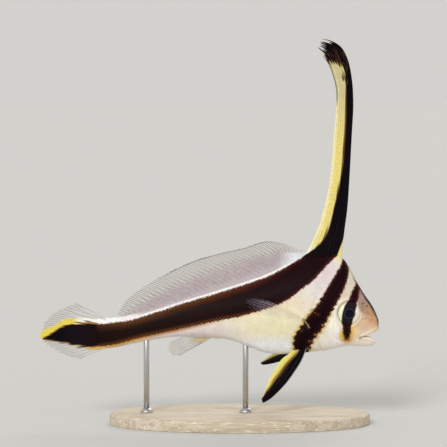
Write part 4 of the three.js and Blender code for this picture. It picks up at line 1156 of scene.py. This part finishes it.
# %% Breast fins
BREAST_RAYS = 17
BREAST_BOW = 0.7
BREAST_TIP_Y = 10.4
BREAST_KEYS = [(0, 34.9, 33.8, 26.0, 31.6), (0.2, 34.8, 34.6, 20.4, 32.9), (0.42, 34.6, 35.5, 16.2, 36.0),
               (0.66, 34.4, 36.4, 14.3, 40.6), (0.86, 34.2, 37.2, 12.5, 44.6), (1, 34.1, 37.7, 15.8, 46.0)]
columns, rows = (BREAST_RAYS - 1) * 16 + 1, 90
root_y = [np.abs(skin[np.argmin(np.hypot(*(side_view - key[1:3]).T)), 1]) for key in BREAST_KEYS]
print("half width of the body along the breast fin's root, in mm:", np.round(root_y, 1))
for word, way in (("right", -1), ("left", 1)):
    s_grid, t = ray_grid(BREAST_RAYS, columns, rows, 0.04, 0.03, seed=61)
    keys = between(BREAST_KEYS, s_grid)
    flat = keys[..., :2] * (1 - t[..., None]) + keys[..., 2:] * t[..., None]
    flat[..., 1] += BREAST_BOW * s_grid * np.sin(math.pi * t)
    ray, off = ray_pattern(BREAST_RAYS, columns, rows, width=0.13)
    out = np.interp(s_grid, [key[0] for key in BREAST_KEYS], root_y) - 0.4
    out += (BREAST_TIP_Y - out) * t ** 0.8 - 0.8 * np.sin(math.pi * s_grid) * t
    y = way * (out + 0.04 * np.cos(2 * math.pi * off))
    grid = np.stack([flat[..., 0], y, flat[..., 1]], axis=-1)
    half = 0.05 + 0.22 * (1 - t) ** 2 + 0.06 * ray
    half[:, -1] = 0.02
    half[0] = half[-1] = 0.04
    fan_ray, fan_t = ray.ravel(), t.ravel()
    tints = np.tile(linear("#b8b0cc"), (fan_ray.size, 1))
    tints = paint(tints, "#ece8f8", 0.8 * fan_ray)
    fan_s = s_grid.ravel()
    # Tan over the upper rays near the root: painted shade of the fold at the fin's base, which also makes the
    # fin less clear there
    base_fold_shade = smoothstep(0.6, 0.85, fan_s) * bump(fan_t - 0.35, 0.25)
    tints = paint(tints, "#c9a470", base_fold_shade)
    feather = smoothstep(0.52, 0.72, fan_s) * smoothstep(1.16, 0.8, fan_t + 1.4 * np.abs(fan_s - 0.86))
    over_band = smoothstep(0.4, 0.6, fan_t) * feather
    over_band *= 0.6 + 0.7 * smoothstep(0.86, 0.96, fan_s)
    cover = 0.002 + 0.006 * fan_ray + (0.06 + 0.18 * fan_ray * smoothstep(1.0, 0.6, fan_t)) * over_band
    cover += 0.07 * base_fold_shade
    make_fin(f"breast_fin_{word}", grid, half, tints, clear_fin_material, [f"pectoral_fin_{word}"],
             cover)

# %% [markdown]
# ## Eyes
#
# A fish's eye is a flattened ball, flush with the head, under a wet clear cornea. The pupil is
# blue-black with a thin silver ring, and the iris is cream-yellow, crossed by the same dark band
# that marks the head. The ball is turned on a lathe profile, fine enough for its gloss to be even,
# and a clear coat on the material stands for the cornea's water film.

# %% Eye finish
FIBRE_SIZE = 0.35
eye_material, tree, output = new_material("wet_eye")
tint = add(tree, "ShaderNodeAttribute", attribute_name="tint")
place = add(tree, "ShaderNodeTexCoord")
fibres = add(
    tree, "ShaderNodeTexNoise",
    {"Vector": place.outputs["Object"], "Scale": 1 / (FIBRE_SIZE * MM), "Detail": 3.0},
)
shade = add(tree, "ShaderNodeMapRange", {0: fibres.outputs["Fac"], 1: 0.3, 2: 0.7, 3: 0.84, 4: 1.08})
shaded = add(
    tree, "ShaderNodeVectorMath", {0: tint.outputs["Color"], "Scale": shade.outputs[0]}, operation="SCALE"
)
surface = add(
    tree, "ShaderNodeBsdfPrincipled",
    {
        "Base Color": shaded.outputs[0],
        "Roughness": 0.4,
        "IOR": 1.38,
        "Specular IOR Level": 0.06,
        "Coat Weight": 0.25,
        "Coat Roughness": 0.03,
        "Coat IOR": 1.34,
    },
)
tree.links.new(surface.outputs[0], output.inputs[0])
print("eye finish:", len(tree.nodes), "nodes")

# %% Eyeballs
EYE_STEPS = 96
EYE_RINGS = 65
EYE_HALF_DEPTH = 1.5
CORNEA_RADIUS = 2.9
CORNEA_RISE = 0.25


def ring_faces(rings, steps):
    """Faces of a closed piece whose points lie in rings, from the first ring to the last."""
    ids = np.arange(rings * steps).reshape(rings, steps)
    beside = np.roll(ids, -1, axis=1)
    faces = np.stack([ids[:-1], beside[:-1], beside[1:], ids[1:]], axis=-1).reshape(-1, 4).tolist()
    return faces + [ids[0][::-1].tolist(), ids[-1].tolist()]


around = np.linspace(0, 2 * math.pi, EYE_STEPS + 1)[:-1]
angle = np.linspace(-0.5, 0.5, EYE_RINGS) * math.pi
profile_r = np.cos(angle) * EYE_RADIUS
profile_r[[0, -1]] = 0.01
in_front = np.where(angle > 0, 1 - smoothstep(CORNEA_RADIUS - 0.6, CORNEA_RADIUS + 0.4, profile_r), 0)
profile_out = np.sin(angle) * EYE_HALF_DEPTH + CORNEA_RISE * in_front
ball_faces = ring_faces(EYE_RINGS, EYE_STEPS)
for word, way in (("right", -1), ("left", 1)):
    local_x = profile_r[:, None] * np.cos(around)
    local_z = profile_r[:, None] * np.sin(around)
    out = profile_out[:, None] * np.ones_like(local_x)
    px = EYE_CENTRE[0] + local_x * math.cos(EYE_TURN) + out * math.sin(EYE_TURN)
    py = way * (EYE_OUT - local_x * math.sin(EYE_TURN) + out * math.cos(EYE_TURN))
    points = np.stack([px, py, EYE_CENTRE[1] + local_z], axis=-1).reshape(-1, 3)
    r = np.hypot(local_x, local_z).ravel()
    bar = depth_inside(EYE_BAND, points[:, [0, 2]])
    tints = np.tile(linear("#eeedc8"), (r.size, 1))
    tints = paint(tints, "#f6f3dd", bump(r - 2.9, 0.5))
    # Cream over the front half of the iris: its own pale tone, raised further as painted light against the
    # shade of the turned ball
    tints = paint(tints, "#fff6e2", smoothstep(0.5, 2.6, local_x.ravel()))
    ring_line = bump(r - 3.85, 0.13) * (0.55 - 0.35 * local_x.ravel() / EYE_RADIUS)
    tints = paint(tints, "#3f4a2c", ring_line)
    tints = paint(tints, "#4a3a24", smoothstep(-0.45, -0.1, bar))
    tints = paint(tints, "#21121a", smoothstep(-0.2, 0.15, bar))
    tints = paint(tints, "#0c0a12", smoothstep(2.35, 2.1, r))
    tints = paint(tints, "#6a6680", 0.6 * bump(r - 1.74, 0.09))
    tints = paint(tints, "#07081a", smoothstep(1.65, 1.55, r))
    faces = ball_faces if way < 0 else [face[::-1] for face in ball_faces]
    eyeball = bare_object(f"eyeball_{word}", points * MM, faces)
    eyeball.data.shade_smooth()
    colour = np.column_stack([tints, np.ones(len(tints))]).astype(np.float32)
    eyeball.data.attributes.new("tint", "FLOAT_COLOR", "POINT").data.foreach_set("color", colour.ravel())
    eyeball.data.materials.append(eye_material)
    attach(eyeball, "root")
    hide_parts(f"eye_{word}")
print("eyeballs in mm across:", 2 * EYE_RADIUS)

# %% [markdown]
# ## Display stand
#
# The base is an oval of limed ash: open-grained wood, brushed with white paste that stays in
# the pores and leaves a pale grey satin face. The grain runs along it, about 1.5 mm between rings.
# Two rods of brushed steel, each in a small collar, hold the fish. The sizes of
# base and rods come from the solids.

# %% Wood finish
FIGURE_SIZE = 14
RING_SPACING = 1.5
PORE_SIZE = 0.35
wood_material, tree, output = new_material("limed_ash")
place = add(tree, "ShaderNodeTexCoord")
stretched = add(tree, "ShaderNodeMapping", {"Vector": place.outputs["Object"], "Scale": (0.06, 1.0, 1.0)})
warp = add(
    tree, "ShaderNodeTexNoise",
    {"Vector": stretched.outputs[0], "Scale": 1 / (FIGURE_SIZE * MM), "Detail": 2.0},
)
ring = add(
    tree, "ShaderNodeTexNoise",
    {"Vector": stretched.outputs[0], "Scale": 1 / (RING_SPACING * MM), "Detail": 4.0},
)
pore = add(
    tree, "ShaderNodeTexNoise", {"Vector": stretched.outputs[0], "Scale": 1 / (PORE_SIZE * MM), "Detail": 2.0}
)
wood = add(
    tree, "ShaderNodeMix", {0: warp.outputs["Fac"], 6: rgba("#d8cbb5"), 7: rgba("#c7b79d")}, data_type="RGBA"
)
ringed = add(tree, "ShaderNodeMapRange", {0: ring.outputs["Fac"], 1: 0.42, 2: 0.62, 3: 0.0, 4: 0.75})
wood = add(
    tree, "ShaderNodeMix", {0: ringed.outputs[0], 6: wood.outputs[2], 7: rgba("#b3a186")}, data_type="RGBA"
)
limed = add(tree, "ShaderNodeMapRange", {0: pore.outputs["Fac"], 1: 0.56, 2: 0.66, 3: 0.0, 4: 0.8})
wood = add(
    tree, "ShaderNodeMix", {0: limed.outputs[0], 6: wood.outputs[2], 7: rgba("#f1ece3")}, data_type="RGBA"
)
grooves = add(tree, "ShaderNodeBump", {"Height": pore.outputs["Fac"], "Strength": 0.3, "Distance": 0.08 * MM})
surface = add(
    tree, "ShaderNodeBsdfPrincipled",
    {"Base Color": wood.outputs[2], "Roughness": 0.55, "IOR": 1.5, "Normal": grooves.outputs[0]},
)
tree.links.new(surface.outputs[0], output.inputs[0])
print("wood finish:", len(tree.nodes), "nodes")

# %% Steel finish
BRUSH_SPACING = 0.15
steel_material, tree, output = new_material("brushed_steel")
place = add(tree, "ShaderNodeTexCoord")
stretched = add(tree, "ShaderNodeMapping", {"Vector": place.outputs["Object"], "Scale": (1.0, 1.0, 0.04)})
brushing = add(
    tree, "ShaderNodeTexNoise",
    {"Vector": stretched.outputs[0], "Scale": 1 / (BRUSH_SPACING * MM), "Detail": 2.0},
)
rough = add(tree, "ShaderNodeMapRange", {0: brushing.outputs["Fac"], 1: 0.3, 2: 0.7, 3: 0.24, 4: 0.42})
tone = add(
    tree, "ShaderNodeMix", {0: brushing.outputs["Fac"], 6: rgba("#b4b6b9"), 7: rgba("#d2d3d4")},
    data_type="RGBA",
)
surface = add(
    tree, "ShaderNodeBsdfPrincipled",
    {"Base Color": tone.outputs[2], "Metallic": 1.0, "Roughness": rough.outputs[0]},
)
tree.links.new(surface.outputs[0], output.inputs[0])
print("steel finish:", len(tree.nodes), "nodes")


# %% Turned pieces
def turned(name, centre, profile, stretch, material, replaced, steps=128):
    """A round or oval piece from (radius, height) pairs in mm, from the middle below to the top."""
    turn = np.linspace(0, 2 * math.pi, steps + 1)[:-1]
    profile = np.array(profile, float)
    r, height = profile[:, :1], profile[:, 1:]
    points = np.stack([
        centre[0] + (r + stretch) * np.cos(turn),
        centre[1] + r * np.sin(turn),
        height * np.ones(steps),
    ], axis=-1).reshape(-1, 3)
    made = bare_object(name, points * MM, ring_faces(len(profile), steps))
    made.data.shade_smooth()
    made.data.materials.append(material)
    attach(made, "root")
    if replaced:
        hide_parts(*replaced)
    return made


# %% Base and rods
low, high = (np.array(corner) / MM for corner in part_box("stand_base"))
base_middle = (low + high) / 2
half_length, half_breadth = (high - low)[:2] / 2
stretch = half_length - half_breadth
EDGE = 0.9
LOWER_EDGE = 0.4
base_profile = [(half_breadth - 1.0, 0.0)]
for step in np.linspace(0, math.pi / 2, 6):
    base_profile.append(
        (half_breadth - LOWER_EDGE + LOWER_EDGE * math.sin(step), LOWER_EDGE - LOWER_EDGE * math.cos(step))
    )
for step in np.linspace(0, math.pi / 2, 10):
    base_profile.append((half_breadth - EDGE + EDGE * math.cos(step), high[2] - EDGE + EDGE * math.sin(step)))
base_profile.append((half_breadth - 4.0, high[2]))
base_profile.append((0.5, high[2]))
turned("base_plate", base_middle, base_profile, stretch, wood_material, ["stand_base"],
       steps=256)
for word in ("front", "rear"):
    low, high = (np.array(corner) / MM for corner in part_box(f"stand_rod_{word}"))
    middle_xy = (low + high) / 2
    radius = (high - low)[0] / 2
    top = high[2] + 0.5
    deck = base_profile[-1][1]
    rod_profile = [(0.2, deck - 0.4), (radius, deck - 0.4), (radius, top - 0.3), (radius - 0.15, top),
                   (0.2, top)]
    turned(f"{word}_rod", middle_xy, rod_profile, 0.0, steel_material, [f"stand_rod_{word}"],
           steps=64)
    collar = [(radius, deck - 0.2), (2.1, deck - 0.2), (2.2, deck + 0.5), (2.05, deck + 0.75),
              (1.35, deck + 1.5), (radius - 0.1, deck + 1.6)]
    turned(f"{word}_collar", middle_xy, collar, 0.0, steel_material, [], steps=64)
print("base in mm:", np.round(2 * half_length, 1), "by", np.round(2 * half_breadth, 1))

# %% [markdown]
# ## Floor and light
#
# The floor is plain and pale, under an even pale sky of nearly the same tone, so nothing stands
# behind the fish and its clear fins show against one colour. Two wide suns light it: a strong one
# from above and in front gives the shape, and a weak one from behind lights the edges of the fins.
# The sky opens the shade under the belly.

# %% Floor
floor_material, tree, output = new_material("pale_matt_floor")
surface = add(tree, "ShaderNodeBsdfPrincipled", {"Base Color": rgba("#cfcfcd"), "Roughness": 0.95})
surface.inputs["Specular IOR Level"].default_value = 0.1
tree.links.new(surface.outputs[0], output.inputs[0])
floor = bare_object("floor", [(-9, -9, 0), (9, -9, 0), (9, 9, 0), (-9, 9, 0)], [(0, 1, 2, 3)])
floor.data.materials.append(floor_material)
print("floor finish:", floor_material.name)

# %% Sky and suns
world = bpy.data.worlds.new("pale_sky")
world.use_nodes = True
sky = world.node_tree.nodes["Background"]
sky.inputs["Color"].default_value = rgba("#d3d1cd")
sky.inputs["Strength"].default_value = 1.0
bpy.context.scene.world = world

for name, towards, strength, spread in (
    ("key", (-0.30, -0.80, 0.52), 1.55, 18),
    ("rim", (0.25, 0.75, 0.60), 0.6, 30),
):
    lamp = bpy.data.lights.new(name, "SUN")
    lamp.energy = strength
    lamp.angle = math.radians(spread)
    holder = bpy.data.objects.new(name, lamp)
    yaw = math.atan2(towards[1], towards[0]) + math.pi / 2
    pitch = math.atan2(math.hypot(towards[0], towards[1]), towards[2])
    holder.rotation_euler = (pitch, 0, yaw)
    bpy.context.collection.objects.link(holder)
bpy.context.scene.view_settings.view_transform = "Standard"
print("suns:", len(bpy.data.lights))

# %% The end
bpy.context.view_layer.update()
